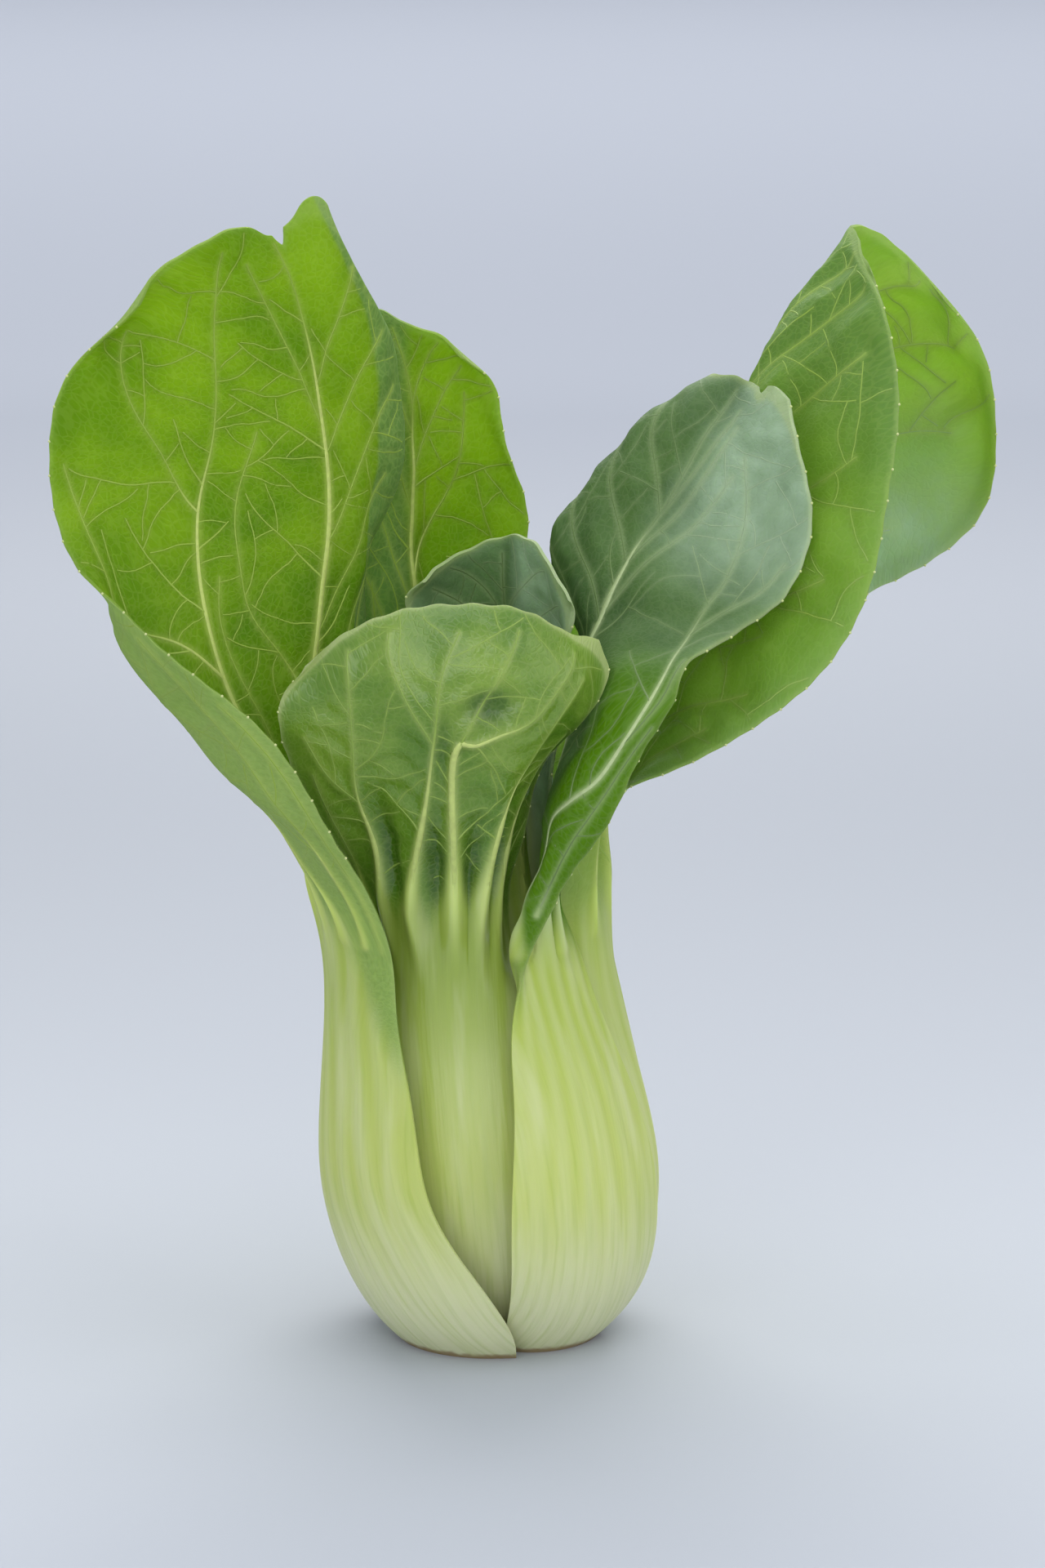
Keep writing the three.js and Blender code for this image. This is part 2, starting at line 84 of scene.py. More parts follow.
# Each leaf has the angles of its stalk's two margins at the bulb's heights ("edges", a third value
# there replaces "tuck", how far the margins dip inwards), then its blade as rows of seven guide points
# x, y, z in millimetres, or as "cups": height, shift, radius, half angle, drop. "mesh" is rows, columns.
# Nicks are (guide, width, depth), pockets (row, guide, depth, length, width), veins run through
# (row, guide, radius), and a side vein is (row on the midrib, side, row and guide at the margin, radius).
leaves = {
    "leaf_outer_front_left": {
        "whorl": 0, "side": -1, "rib": 4, "tuck": [0, 3], "mesh": (300, 150), "look": "sunlit", "cord": 1.2,
        "wedge": 1.5, "bladeStart": (5.6, 6.6), "pucker": 0.45, "quilt": 0.42, "nicks": [(4.0, 0.17, 0.34)],
        "edges": [[-76, -176], [-80, -178], [-92, -180], [-108, -184], [-112, -188], [-118, -192]],
        "blade": [
          [-16, -24, 70, -20, -24, 72, -24, -22, 73, -27, -18, 74, -28, -13, 74, -28.5, -8, 74, -28, -3, 73],
          [-20, -30, 82, -24, -28, 83, -28, -23, 82, -30, -16, 83, -30, -9, 83, -29, -4, 84, -28, 1, 84],
          [-26, -34, 94, -30, -31, 92, -35, -24, 92, -36, -15, 93, -30, -7, 95, -26, 0, 98, -23, 6, 101],
          [-35, -36, 108, -39, -32, 104, -45, -24, 101, -41, -14, 107, -30, -5, 108, -24, 2, 113, -22, 8, 115],
          [-47, -34, 119, -50, -30, 116, -53, -22, 112, -46, -13, 119, -28, -2, 122, -22, 4, 127, -22, 10, 127],
          [-57, -28, 125, -59, -25, 124, -61, -18, 122, -48, -10, 129, -26, 1, 134, -20, 6, 140, -17, 13, 138],
          [-66, -20, 132, -64, -17, 132, -60, -12, 134, -49, -7, 140, -26, 3, 145, -19, 7, 151, -15, 13, 150],
          [-71, -15, 144, -67, -12, 148, -60, -9, 151, -45, -4, 154, -28, 3, 157, -19, 7, 161, -15, 13, 160],
          [-71, -14, 159, -66, -11, 162, -58, -8, 166, -44, -3, 169, -30, 2, 169, -20, 5, 171, -18, 10, 167],
          [-64, -14, 167, -59, -11, 172, -53, -8, 176, -42, -4, 179, -32, 1, 178, -24, 3, 181, -22, 6, 176],
          [-57, -14, 175, -54, -12, 180, -47, -9, 184, -40, -5, 187, -35, -1, 184, -29, 1, 192, -26, 3, 186],
        ],
        "veins": [
            [(5, 4, 1.5), (7, 4, 1.6), (9, 4, 1.3), (11, 4, 1.05), (13, 4, 0.8), (14.5, 3.95, 0.55),
             (15.8, 3.8, 0.35)],
            [(5, 3, 0.9), (7.5, 3, 1), (9, 3, 1), (10.5, 3, 0.9), (12, 3, 0.75), (13, 3, 0.58),
             (14.2, 2.9, 0.45), (15.5, 2.75, 0.33)],
            [(12, 3, 0.7), (12.8, 2.5, 0.55), (13.6, 1.95, 0.42), (14.6, 1.5, 0.33)],
            [(9.6, 3, 0.8), (10.4, 2.6, 0.7), (10.9, 2.2, 0.6), (11.6, 1.6, 0.5), (12.4, 1, 0.4),
             (13.2, 0.5, 0.32)],
            [(9, 4, 0.8), (9.4, 3.75, 0.65), (10.2, 3.4, 0.55), (11.1, 3.3, 0.45), (12, 3.3, 0.36),
             (12.8, 3.4, 0.3)],
            [(8.6, 3.4, 0.6), (9.4, 3.2, 0.5), (10.3, 3.12, 0.4), (11, 3.15, 0.3)],
            [(11, 4, 0.6), (11.7, 4.4, 0.5), (12.3, 5, 0.42), (12.8, 5.6, 0.32)],
            [(6, 2, 0.8), (8, 2, 0.7), (9.5, 2, 0.5), (11, 1.8, 0.36)],
            [(6, 1, 0.7), (8, 1, 0.55), (9.5, 0.9, 0.42), (10.8, 0.6, 0.33)],
            [(6, 0.35, 0.5), (8, 0.4, 0.42), (9.6, 0.3, 0.33)],
            [(6, 5.2, 0.7), (8, 5.1, 0.55), (10, 5.3, 0.36)],
        ],
        "sideVeins": [(12.3, 1, 13.8, 5.4, 0.5), (13.3, 1, 14.9, 5.2, 0.45), (9.8, 1, 11.4, 5.4, 0.5),
                      (8.6, 1, 10.2, 5.5, 0.5), (12.7, -1, 15.2, 3.2, 0.45)],
    },
    "leaf_outer_front_right": {
        "whorl": 0, "side": 1, "slot": "leaf_bloom", "tuck": [1, 0], "mesh": (300, 150), "look": "bloomed",
        "cord": 1.5, "wedge": 0.7, "bladeStart": (5.5, 6.9), "pucker": 0.55, "quilt": 0.42, "pillow": 0.8,
        "nicks": [(1.7, 0.4, 0.12)],
        "edges": [[-84, -14, 5.4], [-84, -14, 3.9], [-83, -18, 1], [-82, -19, 0], [-77, -22, 0],
                  [-75, -33, 0]],
        "blade": [
          [6, -25, 70, 5, -25, 71, 5, -24, 72, 8, -22, 72, 11, -20, 71, 13, -17, 71, 14, -14, 70],
          [9, -28, 77, 7, -28, 78, 5, -26, 78, 8, -20, 77, 10, -17, 77, 11, -14, 77, 11, -10, 76],
          [13, -30, 85, 10, -31, 86, 7, -28, 86, 9, -17, 84, 10, -13, 84, 11, -9, 85, 11, -5, 85],
          [19, -31, 95, 14, -33, 95, 10, -28, 94, 11, -14, 93, 13, -8, 94, 14, -3, 95, 15, 2, 96],
          [24, -30, 104, 19, -32, 104, 14, -28, 103, 13, -12, 104, 15, -3, 106, 16, 3, 108, 17, 8, 109],
          [29, -26, 112, 25, -28, 112, 20, -26, 112, 15, -9, 112, 15, 1, 115, 15, 7, 118, 17, 12, 118],
          [32, -22, 119, 29, -21, 118, 24, -17, 118, 17, -5, 121, 13, 4, 124, 11, 10, 126, 15, 16, 124],
          [40, -16, 122, 34, -13, 123, 27, -9, 126, 22, -2, 129, 12, 7, 131, 9, 13, 133, 14, 19, 129],
          [48, -11, 126, 42, -7, 130, 33, -4, 132, 26, 1, 136, 17, 8, 139, 13, 14, 139, 19, 21, 134],
          [52, -9, 138, 46, -4, 139, 38, -1, 142, 32, 3, 144, 23, 9, 147, 21, 15, 148, 26, 22, 143],
          [51, -6, 149, 46, -2, 150, 40, 1, 151, 36, 5, 152, 30, 10, 154, 28, 15, 155, 33, 21, 150],
          [48, -2, 158, 46, 1, 160, 44, 3, 159, 42, 7, 160, 38, 11, 160, 36, 15, 159, 38, 19, 156],
        ],
        "veins": [
            [(5, 3, 1.6), (8, 3, 1.8), (10, 3, 1.6), (12, 3, 1.2), (13, 3, 0.85), (14.2, 3, 0.58),
             (15.5, 3, 0.44), (16.8, 3, 0.32)],
            [(6, 2, 1), (7.3, 2, 1), (8.2, 2, 1), (8.9, 1.9, 0.95), (9.3, 1.5, 0.9), (9.8, 1, 0.85),
             (11, 1, 0.8), (12, 0.95, 0.72), (13.4, 1.15, 0.6), (14, 1.3, 0.5), (15, 1.5, 0.38),
             (15.8, 1.7, 0.3)],
            [(7, 0.8, 0.55), (8.5, 0.8, 0.45), (9.6, 0.5, 0.38), (10.6, 0.35, 0.32)],
            [(10.2, 1, 0.5), (11.2, 0.55, 0.4), (12, 0.35, 0.3)],
            [(12.6, 1.05, 0.45), (13.6, 0.6, 0.36), (14.4, 0.4, 0.3)],
            [(6, 4.2, 0.7), (8, 4.2, 0.55), (10.5, 4.6, 0.36)],
        ],
        "sideVeins": [(12.2, -1, 15.4, 1.9, 0.65), (13.2, -1, 16.2, 2.2, 0.55), (14.3, -1, 16.5, 2.4, 0.45),
                      (9.4, 1, 11.6, 5.4, 0.6), (11, 1, 13.4, 5.4, 0.65), (12.1, 1, 14.5, 5.4, 0.6),
                      (13.2, 1, 15.4, 5.2, 0.5), (14.3, 1, 16.3, 5, 0.42)],
    },
    "leaf_outer_right": {
        "whorl": 0, "side": 1, "tuck": [4.7, 0], "mesh": (300, 150), "look": "meadow", "cord": 1.2,
        "pucker": 0.7, "quilt": 0.4, "pillow": 1.6, "flare": (6.8, 1, 0.7),
        "edges": [[-20, 52], [-20, 52], [-23, 50], [-25, 48], [-28, 46], [-41, 44]],
        "blade": [
          [12.4, -10.8, 71, 15.6, -9.6, 71, 18.5, -5, 71, 19, 1, 70, 18, 8, 69, 17, 14, 68, 15, 19, 68],
          [12.2, -11.6, 78, 15.4, -10.6, 78, 17.5, -6, 77, 18, 2, 76, 17, 10, 76, 16, 16, 75, 15, 21, 75],
          [13, -12, 85, 15.4, -10.8, 85, 17, -5, 85, 17, 5, 86, 17, 13, 85, 18, 20, 85, 19, 26, 84],
          [20, -10, 93, 20, -8, 93, 18, -2, 94, 18, 8, 96, 21, 18, 95, 25, 26, 94, 30, 32, 92],
          [30, -12, 99, 27, -6, 100, 23, 2, 103, 22, 11, 106, 27, 23, 103, 34, 31, 100, 41, 37, 99],
          [44, -14, 106, 37, -6, 110, 30, 4, 115, 27, 14, 118, 34, 27, 115, 44, 36, 110, 52, 40, 108],
          [54, -14, 115, 46, -5, 122, 36, 6, 128, 32, 16, 132, 41, 31, 127, 54, 40, 120, 64, 42, 118],
          [62, -12, 130, 52, -3, 136, 42, 8, 143, 36, 19, 145, 48, 34, 140, 64, 43, 133, 74, 40, 123],
          [65, -8, 145, 56, 1, 151, 47, 12, 156, 42, 22, 159, 55, 36, 155, 72, 43, 147, 83, 36, 132],
          [66, -3, 159, 59, 5, 164, 52, 15, 167, 48, 24, 168, 62, 36, 168, 77, 41, 160, 86, 36, 144],
          [65, 4, 171, 61, 10, 174, 57, 18, 176, 55, 26, 177, 64, 34, 176, 75, 38, 168, 84, 36, 159],
          [62, 12, 177, 61, 17, 180, 61, 22, 182, 60, 27, 183, 64, 32, 182, 69, 35, 178, 76, 36, 170],
        ],
        "veins": [
            [(5, 3, 1.6), (8, 3, 1.6), (11, 3, 1.2), (14, 3, 0.75), (16.7, 3, 0.35)],
            [(6, 1.4, 0.8), (8, 1.5, 0.6), (9.6, 1.1, 0.45), (10.6, 0.6, 0.34)],
            [(6, 4.6, 0.8), (8, 4.6, 0.6), (9.8, 4.9, 0.45), (10.8, 5.3, 0.34)],
        ],
        "sideVeins": [(8.2, -1, 11.2, 0.6, 0.75), (9.4, -1, 12.7, 0.6, 0.7), (10.6, -1, 14, 0.6, 0.62),
                      (11.9, -1, 15.2, 0.7, 0.55), (13.2, -1, 16.2, 0.9, 0.48), (14.5, -1, 16.7, 1.5, 0.42),
                      (8.4, 1, 11.4, 5.4, 0.75), (9.8, 1, 13, 5.4, 0.7), (11.1, 1, 14.4, 5.4, 0.62),
                      (12.4, 1, 15.6, 5.3, 0.55), (13.8, 1, 16.5, 5, 0.45)],
    },
    "leaf_outer_back_left": {
        "whorl": 0, "side": -1, "mesh": (240, 100), "look": "sunlit", "pucker": 0.6, "quilt": 0.4,
        "edges": [[166, 86], [166, 84], [164, 84], [160, 84], [154, 85], [146, 87]],
        "blade": [
          [-18, 15, 70, -16, 18, 70, -13, 21, 70, -9, 23, 70, -6, 24, 70, -3, 23, 70, -1, 22, 70],
          [-20, 16, 82, -17, 20, 82, -14, 24, 83, -9, 26, 83, -6, 27, 82, -3, 26, 81, -1.5, 24, 80],
          [-22, 16, 100, -20, 19, 101, -16, 22, 102, -11, 25, 103, -5, 28, 100, -1, 28, 99, 4, 26, 98],
          [-24, 17, 115, -21, 19, 117, -18, 21, 119, -14, 24, 120, -7, 28, 117, 0, 29, 115, 5, 27, 115],
          [-23, 17, 126, -21, 19, 130, -18, 21, 133, -14, 24, 133, -7, 28, 131, 0, 29, 129, 6, 27, 130],
          [-21, 17, 136, -20, 19, 140, -17, 21, 144, -14, 23, 145, -7, 27, 144, 0, 28, 142, 5, 26, 139],
          [-21, 17, 146, -19, 19, 149, -16, 21, 152, -14, 22, 154, -8, 25, 155, -2, 26, 153, 2, 25, 149],
          [-21, 17, 155, -19, 19, 159, -17, 20, 160, -15, 21, 161, -10, 23, 162, -5, 24, 161, 0, 23, 157],
          [-22, 18, 164, -21, 18, 168, -20, 19, 170, -18, 19, 170, -13, 20, 167, -9, 21, 166, -4, 21, 162],
        ],
        "veins": [
            [(5, 3, 1.5), (8, 3, 1.3), (10, 3, 0.9), (12, 3, 0.6), (13.7, 3, 0.35)],
            [(9.3, 3, 0.75), (10.1, 3.5, 0.65), (10.5, 3.85, 0.55), (11, 4.15, 0.45), (12.2, 4.6, 0.34)],
            [(6, 1.5, 0.7), (8, 1.5, 0.5), (9.5, 1.2, 0.36)],
            [(6, 4.5, 0.7), (8, 4.6, 0.5), (9.8, 5, 0.36)],
        ],
        "sideVeins": [(7.6, -1, 9.8, 0.6, 0.6), (8.8, -1, 11, 0.6, 0.55), (10.2, -1, 12.2, 0.7, 0.48),
                      (11.4, -1, 13.2, 1, 0.4), (7.8, 1, 10, 5.5, 0.6), (10.8, 1, 12.9, 4.9, 0.48),
                      (12, 1, 13.6, 4.6, 0.4)],
    },
    "leaf_outer_back_right": {
        "whorl": 0, "side": 1, "azimuth": 66, "mesh": (150, 56), "look": "meadow", "pucker": 0.6,
        "quilt": 0.4,
        "edges": [[56, 80], [56, 80], [54, 80], [52, 80], [51, 80], [50, 79]],
        "cups": [[72, 5, 18, 11, 0], [86, 10, 20, 24, 1], [100, 14, 24, 34, 3], [111, 20, 24, 34, 5],
                 [118, 24, 22, 20, 4]],
    },
    "leaf_middle_front": {
        "whorl": 1, "side": -1, "mesh": (280, 150), "look": "glossy", "pucker": 0.36, "quilt": 0.35,
        "ridge": 0, "cord": 1.5, "ripple": 0.17, "bladeStart": (5.9, 6.9),
        "edges": [[-42, -148], [-44, -146], [-46, -144], [-50, -140], [-55, -136], [-60, -132]],
        "blade": [
          [3, -14, 70, 1, -18, 72, -2, -20, 72, -6, -21, 72, -11, -20, 72, -15, -17, 71, -18, -12, 70],
          [3, -15, 80, 1, -20, 81, -1, -24, 82, -6, -26, 82, -12, -24, 82, -18, -20, 81, -22, -16, 81],
          [5, -18, 90, 3, -24, 92, 1, -29, 93, -6, -31, 93, -13, -28, 93, -20, -24, 92, -26, -21, 90],
          [9, -21, 101, 7, -28, 103, 3, -34, 104, -6, -36, 104, -14, -33, 104, -23, -29, 102, -32, -26, 100],
          [14, -23.5, 109, 11, -31, 111, 5, -36, 114, -5, -38, 115, -15, -36, 114, -25, -32, 112, -34, -29, 109],
          [20, -23, 116.5, 14, -29, 119, 6, -35, 122, -5, -37, 123, -16, -35, 122, -25, -32, 119, -33, -29, 115],
          [17, -22, 122, 12, -27, 124, 5, -32, 129, -5, -34, 130, -14, -33, 129, -23, -31, 125, -30, -28, 119],
        ],
        "pockets": [(7.2, 3.5, 1.6, 0.85, 0.24), (7.2, 2.5, 1.6, 0.8, 0.28), (7.5, 4.6, 1.3, 0.8, 0.2),
                    (7.6, 1.45, 1.2, 0.8, 0.2), (9.95, 2.5, 1.5, 0.3, 0.36), (10.45, 2.7, -0.45, 0.28, 0.5),
                    (9.3, 3.25, 0.6, 0.5, 0.16)],
        "veins": [
            [(4, 3, 1.2), (6, 3, 1.5), (7.5, 3, 1.3), (9.2, 3, 1.05), (9.35, 2.6, 0.8), (9.75, 1.7, 0.6),
             (10.6, 1.25, 0.42), (11.3, 1.05, 0.3)],
            [(4.5, 5.3, 0.9), (6.1, 5.35, 1), (7.3, 4.95, 0.85), (8.4, 5, 0.7), (9.45, 4.8, 0.55),
             (10.5, 4.72, 0.42), (11.4, 4.8, 0.3)],
            [(4.5, 4.3, 0.9), (6.2, 4.35, 1.1), (6.8, 4.2, 1.1), (8.15, 3.65, 0.85), (9.3, 3.4, 0.65),
             (10.4, 3.27, 0.5), (11.4, 3, 0.32)],
            [(4.5, 1.9, 0.9), (6.8, 2, 1.1), (8.15, 1.75, 0.85), (9, 1.35, 0.6), (9.9, 1.05, 0.45),
             (10.8, 0.8, 0.3)],
            [(4.5, 0.9, 0.8), (6.8, 1.05, 0.95), (8.15, 0.95, 0.7), (9, 0.65, 0.5), (9.7, 0.4, 0.34)],
            [(6, 5.8, 0.5), (7.5, 5.75, 0.45), (9, 5.65, 0.34)],
            [(9.3, 3.4, 0.55), (10, 3.8, 0.45), (10.8, 4, 0.36), (11.5, 4.1, 0.3)],
            [(9.2, 3, 0.6), (10, 2.6, 0.5), (10.8, 2.3, 0.4), (11.5, 2.1, 0.3)],
            [(8.4, 5, 0.5), (9, 5.4, 0.4), (9.7, 5.6, 0.3)],
        ],
    },
    "leaf_middle_right": {
        "whorl": 1, "side": -1, "slot": "leaf_bloom", "tuck": [0.6, 1.2], "mesh": (190, 80),
        "look": "bloomed", "pucker": 0.5, "quilt": 0.4,
        "edges": [[96, 2], [96, 2], [96, 4], [96, 6], [92, 8], [88, 10]],
        "blade": [
          [-1, 14, 70, 2, 15.5, 70, 5, 15.5, 70, 8, 14, 70, 10, 11, 71, 11, 7, 72, 12, 2, 72],
          [-2, 13, 86, 1, 15, 86, 4, 15.5, 87, 7, 14, 87, 9, 10, 87, 10, 4, 87, 10, 0, 87],
          [-8, 8, 102, -4, 12, 103, 1, 14, 104, 5, 12, 104, 8, 6, 103, 10, 1, 103, 10, -4, 102],
          [-13, 3, 117, -8, 8, 117, -2, 11, 117, 3, 9, 117, 8, 3, 117, 11, -3, 116, 13, -8, 116],
          [-14, 0, 124, -10, 5, 125, -4, 8, 126, 2, 6, 126, 7, 0, 126, 11, -6, 124, 13, -10, 122],
          [-12, -1, 128, -9, 2, 130, -5, 4, 132, 2, 3, 135, 7, -2, 135, 10, -7, 131, 13, -11, 126],
        ],
        "veins": [
            [(5, 3, 1.1), (7, 3, 1), (9, 3, 0.7), (10.7, 3, 0.34)],
            [(5.5, 1.4, 0.6), (7.5, 1.4, 0.5), (9, 1, 0.34)],
            [(5.5, 4.6, 0.6), (7.5, 4.7, 0.5), (9, 5, 0.34)],
        ],
        "sideVeins": [(7.2, -1, 9.2, 0.6, 0.55), (8.2, -1, 10.2, 0.9, 0.48), (9.2, -1, 10.7, 1.5, 0.4),
                      (7.3, 1, 9.3, 5.5, 0.55), (8.4, 1, 10.2, 5.2, 0.48), (9.4, 1, 10.7, 4.6, 0.4)],
    },
    "leaf_middle_left": {
        "whorl": 1, "side": -1, "tuck": [2.5, 0], "azimuth": 160, "mesh": (150, 56), "look": "meadow",
        "pucker": 0.6, "quilt": 0.4,
        "edges": [[210, 122], [210, 122], [208, 124], [204, 128], [198, 136], [190, 146]],
        "cups": [[74, 4, 18, 17, 0], [88, 12, 19, 30, 1], [104, 18, 24, 34, 2], [122, 24, 26, 36, 4],
                 [138, 30, 24, 32, 6], [148, 34, 20, 22, 5]],
    },
}

# The young leaves in the heart share most of their values
young = {"side": 1, "slot": "heart_green", "look": "young"}
heart = {**young, "whorl": 2, "tuck": [0, 2], "mesh": (100, 44), "pucker": 0.3, "quilt": 0.3}
bud = {**young, "whorl": 3, "mesh": (80, 36), "pucker": 0.2, "quilt": 0.2}
leaves.update({
    "heart_leaf_right": {
        **heart, "azimuth": -28,
        "edges": [[-84, 30], [-84, 30], [-80, 28], [-76, 26], [-72, 20], [-68, 14]],
        "cups": [[72, 0, 12, 50, 0], [86, 0, 11.5, 52, 1], [97, 1, 11, 46, 3], [104, 2, 9, 28, 3]],
    },
    "heart_leaf_back": {
        **heart, "azimuth": 100,
        "edges": [[36, 150], [36, 150], [40, 148], [44, 146], [52, 142], [60, 138]],
        "cups": [[72, 0, 12, 46, 0], [86, -1, 11, 46, 1], [96, -2, 10.5, 40, 3], [102, -2, 9, 26, 3]],
    },
    "heart_leaf_left": {
        **heart, "azimuth": -146,
        "edges": [[156, 270], [156, 270], [158, 268], [162, 266], [166, 262], [170, 256]],
        "cups": [[72, 0, 12, 50, 0], [88, 1, 12, 54, 1], [101, 2, 12, 46, 3], [109, 4, 10, 28, 3]],
    },
    "heart_bud_right": {
        **bud, "azimuth": 10,
        "edges": [[-60, 80], [-60, 80], [-60, 80], [-60, 80], [-56, 76], [-50, 70]],
        "cups": [[70, 0, 7, 56, 0], [79, 0, 6, 52, 2], [85, 0, 4.5, 34, 2]],
    },
    "heart_bud_left": {
        **bud, "azimuth": -170,
        "edges": [[120, 260], [120, 260], [120, 260], [120, 260], [124, 256], [130, 250]],
        "cups": [[70, 0, 7, 56, 0], [82, 0, 6, 52, 2], [90, 0, 4.5, 34, 2]],
    },
})


# How a leaf's sheet is evened out and where its margins bend
sheetShape = {
    "softRows": 0.32,
    "softColumns": 0.3,
    "nickCurve": 0.8,
    "topPull": 6,
    "wedgeGuides": 2.1,
    "cornerBlend": 4,
}

# Relief of the finished leaf faces, in millimetres
relief = {
    "quiltReach": 2.1,
    "pillowReach": 4.5,
    "marginWave": 0.7,
    "notchDepth": 0.2,
    "notchPitch": 5.6,
    "notchReach": 1.6,
    "ripplePitch": 5.4,
    "ripplesFrom": (6.8, 7.8),
    "ripplesTo": (9.6, 11.2),
    "veinHeight": 0.75,
    "veinWidth": 1.3,
    "veinLeast": 0.9,
    "midribWidth": 2.4,
    "stalkCurve": 2.2,
    "marginRound": 1.4,
    "boldRadii": (0.3, 0.65),
    "edgeHighlightWidth": 0.4,
    "waveTurns": 0.42,
    "waveShift": 0.9,
    "puckerGap": 9,
    "rippleGap": 5,
    "quiltGap": 4,
    # pale waxy bloom near the margins, partly painted sheen
    "bloomSheenReach": 5,
    "bloomSheenShare": 0.25,
    "softPuckers": 9,
    "puckerLength": (9, 24),
}

# Rows over which each feature grows in, the blade starting near row 6
growsIn = {
    "blade": (5.2, 7),
    "relief": (6.2, 8),
    "ridges": (0.5, 2.5),
    "veinRelief": (5.2, 6.6),
    "veinColour": (5.4, 7),
    "marginWave": (6.5, 8),
    "slimVeins": (6.2, 8.6),
    "tubes": (6.4, 7.8),
}


def smooth(a, b, x):
    t = np.clip((x - a) / (b - a), 0, 1)
    return t * t * (3 - 2 * t)


def grown(feature, s):
    return smooth(*growsIn[feature], s)


def ringPoint(z, r, angle):
    lean = -bulb["lean"] * max(0, z - bulb["leanStart"])
    return [lean + r * math.cos(math.radians(angle)), r * math.sin(math.radians(angle)), z]


def stalkRows(leaf):
    foot = bulb["whorlFoot"][leaf["whorl"]]
    rows = []
    for height, radius, edge in zip(bulb["heights"], bulb["radii"], leaf["edges"]):
        z = foot + (height + 3) * (58 - foot) / 61
        start, end = edge[:2]
        startDip = edge[2] if len(edge) > 2 else leaf["tuck"][0]
        row = []
        for k in range(guides):
            f = k / (guides - 1)
            dip = startDip * (1 - f) ** 3 + leaf["tuck"][1] * f ** 3
            reach = radius * bulb["whorlScale"][leaf["whorl"]] - dip
            row.append(ringPoint(z, reach, start + (end - start) * f))
        rows.append(row)
    return rows


def cupRows(leaf):
    turn = math.radians(leaf["azimuth"])
    rows = []
    for z, shift, radius, half, drop in leaf["cups"]:
        row = []
        for k in range(guides):
            f = 2 * k / (guides - 1) - 1
            x, y, _ = ringPoint(z, radius, leaf["azimuth"] + leaf["side"] * f * half)
            row.append([x + shift * math.cos(turn), y + shift * math.sin(turn), z - drop * f * f])
        rows.append(row)
    return rows


def curveWeights(t, count):
    # weights of a smooth curve through count points at 0, 1, 2 ...
    i = np.minimum(np.floor(t).astype(int), count - 2)
    f = t - i
    parts = [-f / 2 + f ** 2 - f ** 3 / 2, 1 - 2.5 * f ** 2 + 1.5 * f ** 3,
             f / 2 + 2 * f ** 2 - 1.5 * f ** 3, (f ** 3 - f ** 2) / 2]
    w = np.zeros((len(t), count + 2))
    for k, part in enumerate(parts):
        w[np.arange(len(t)), i + k] += part
    w[:, 1] += 2 * w[:, 0]
    w[:, 2] -= w[:, 0]
    w[:, -2] += 2 * w[:, -1]
    w[:, -3] -= w[:, -1]
    return w[:, 1:-1]


def soften(grid, axis, sigma):
    # evens out the curve's small kinks at the guide rows, ends kept in place
    reach = int(3 * sigma) + 1
    g = np.moveaxis(grid, axis, 0)
    low = 2 * g[:1] - g[reach:0:-1]
    high = 2 * g[-1:] - g[-2:-2 - reach:-1]
    padded = np.concatenate([low, g, high])
    k = np.exp(-0.5 * (np.arange(-reach, reach + 1) / sigma) ** 2)
    k /= k.sum()
    out = sum(k[n] * padded[n:n + len(g)] for n in range(2 * reach + 1))
    return np.moveaxis(out, 0, axis)


def unit(v):
    return v / (np.linalg.norm(v, axis=-1, keepdims=True) + 1e-12)


def runAlong(line):
    # length of the way along a line of points, at each of them
    return np.concatenate([[0], np.cumsum(np.linalg.norm(np.diff(line, axis=0), axis=-1))])


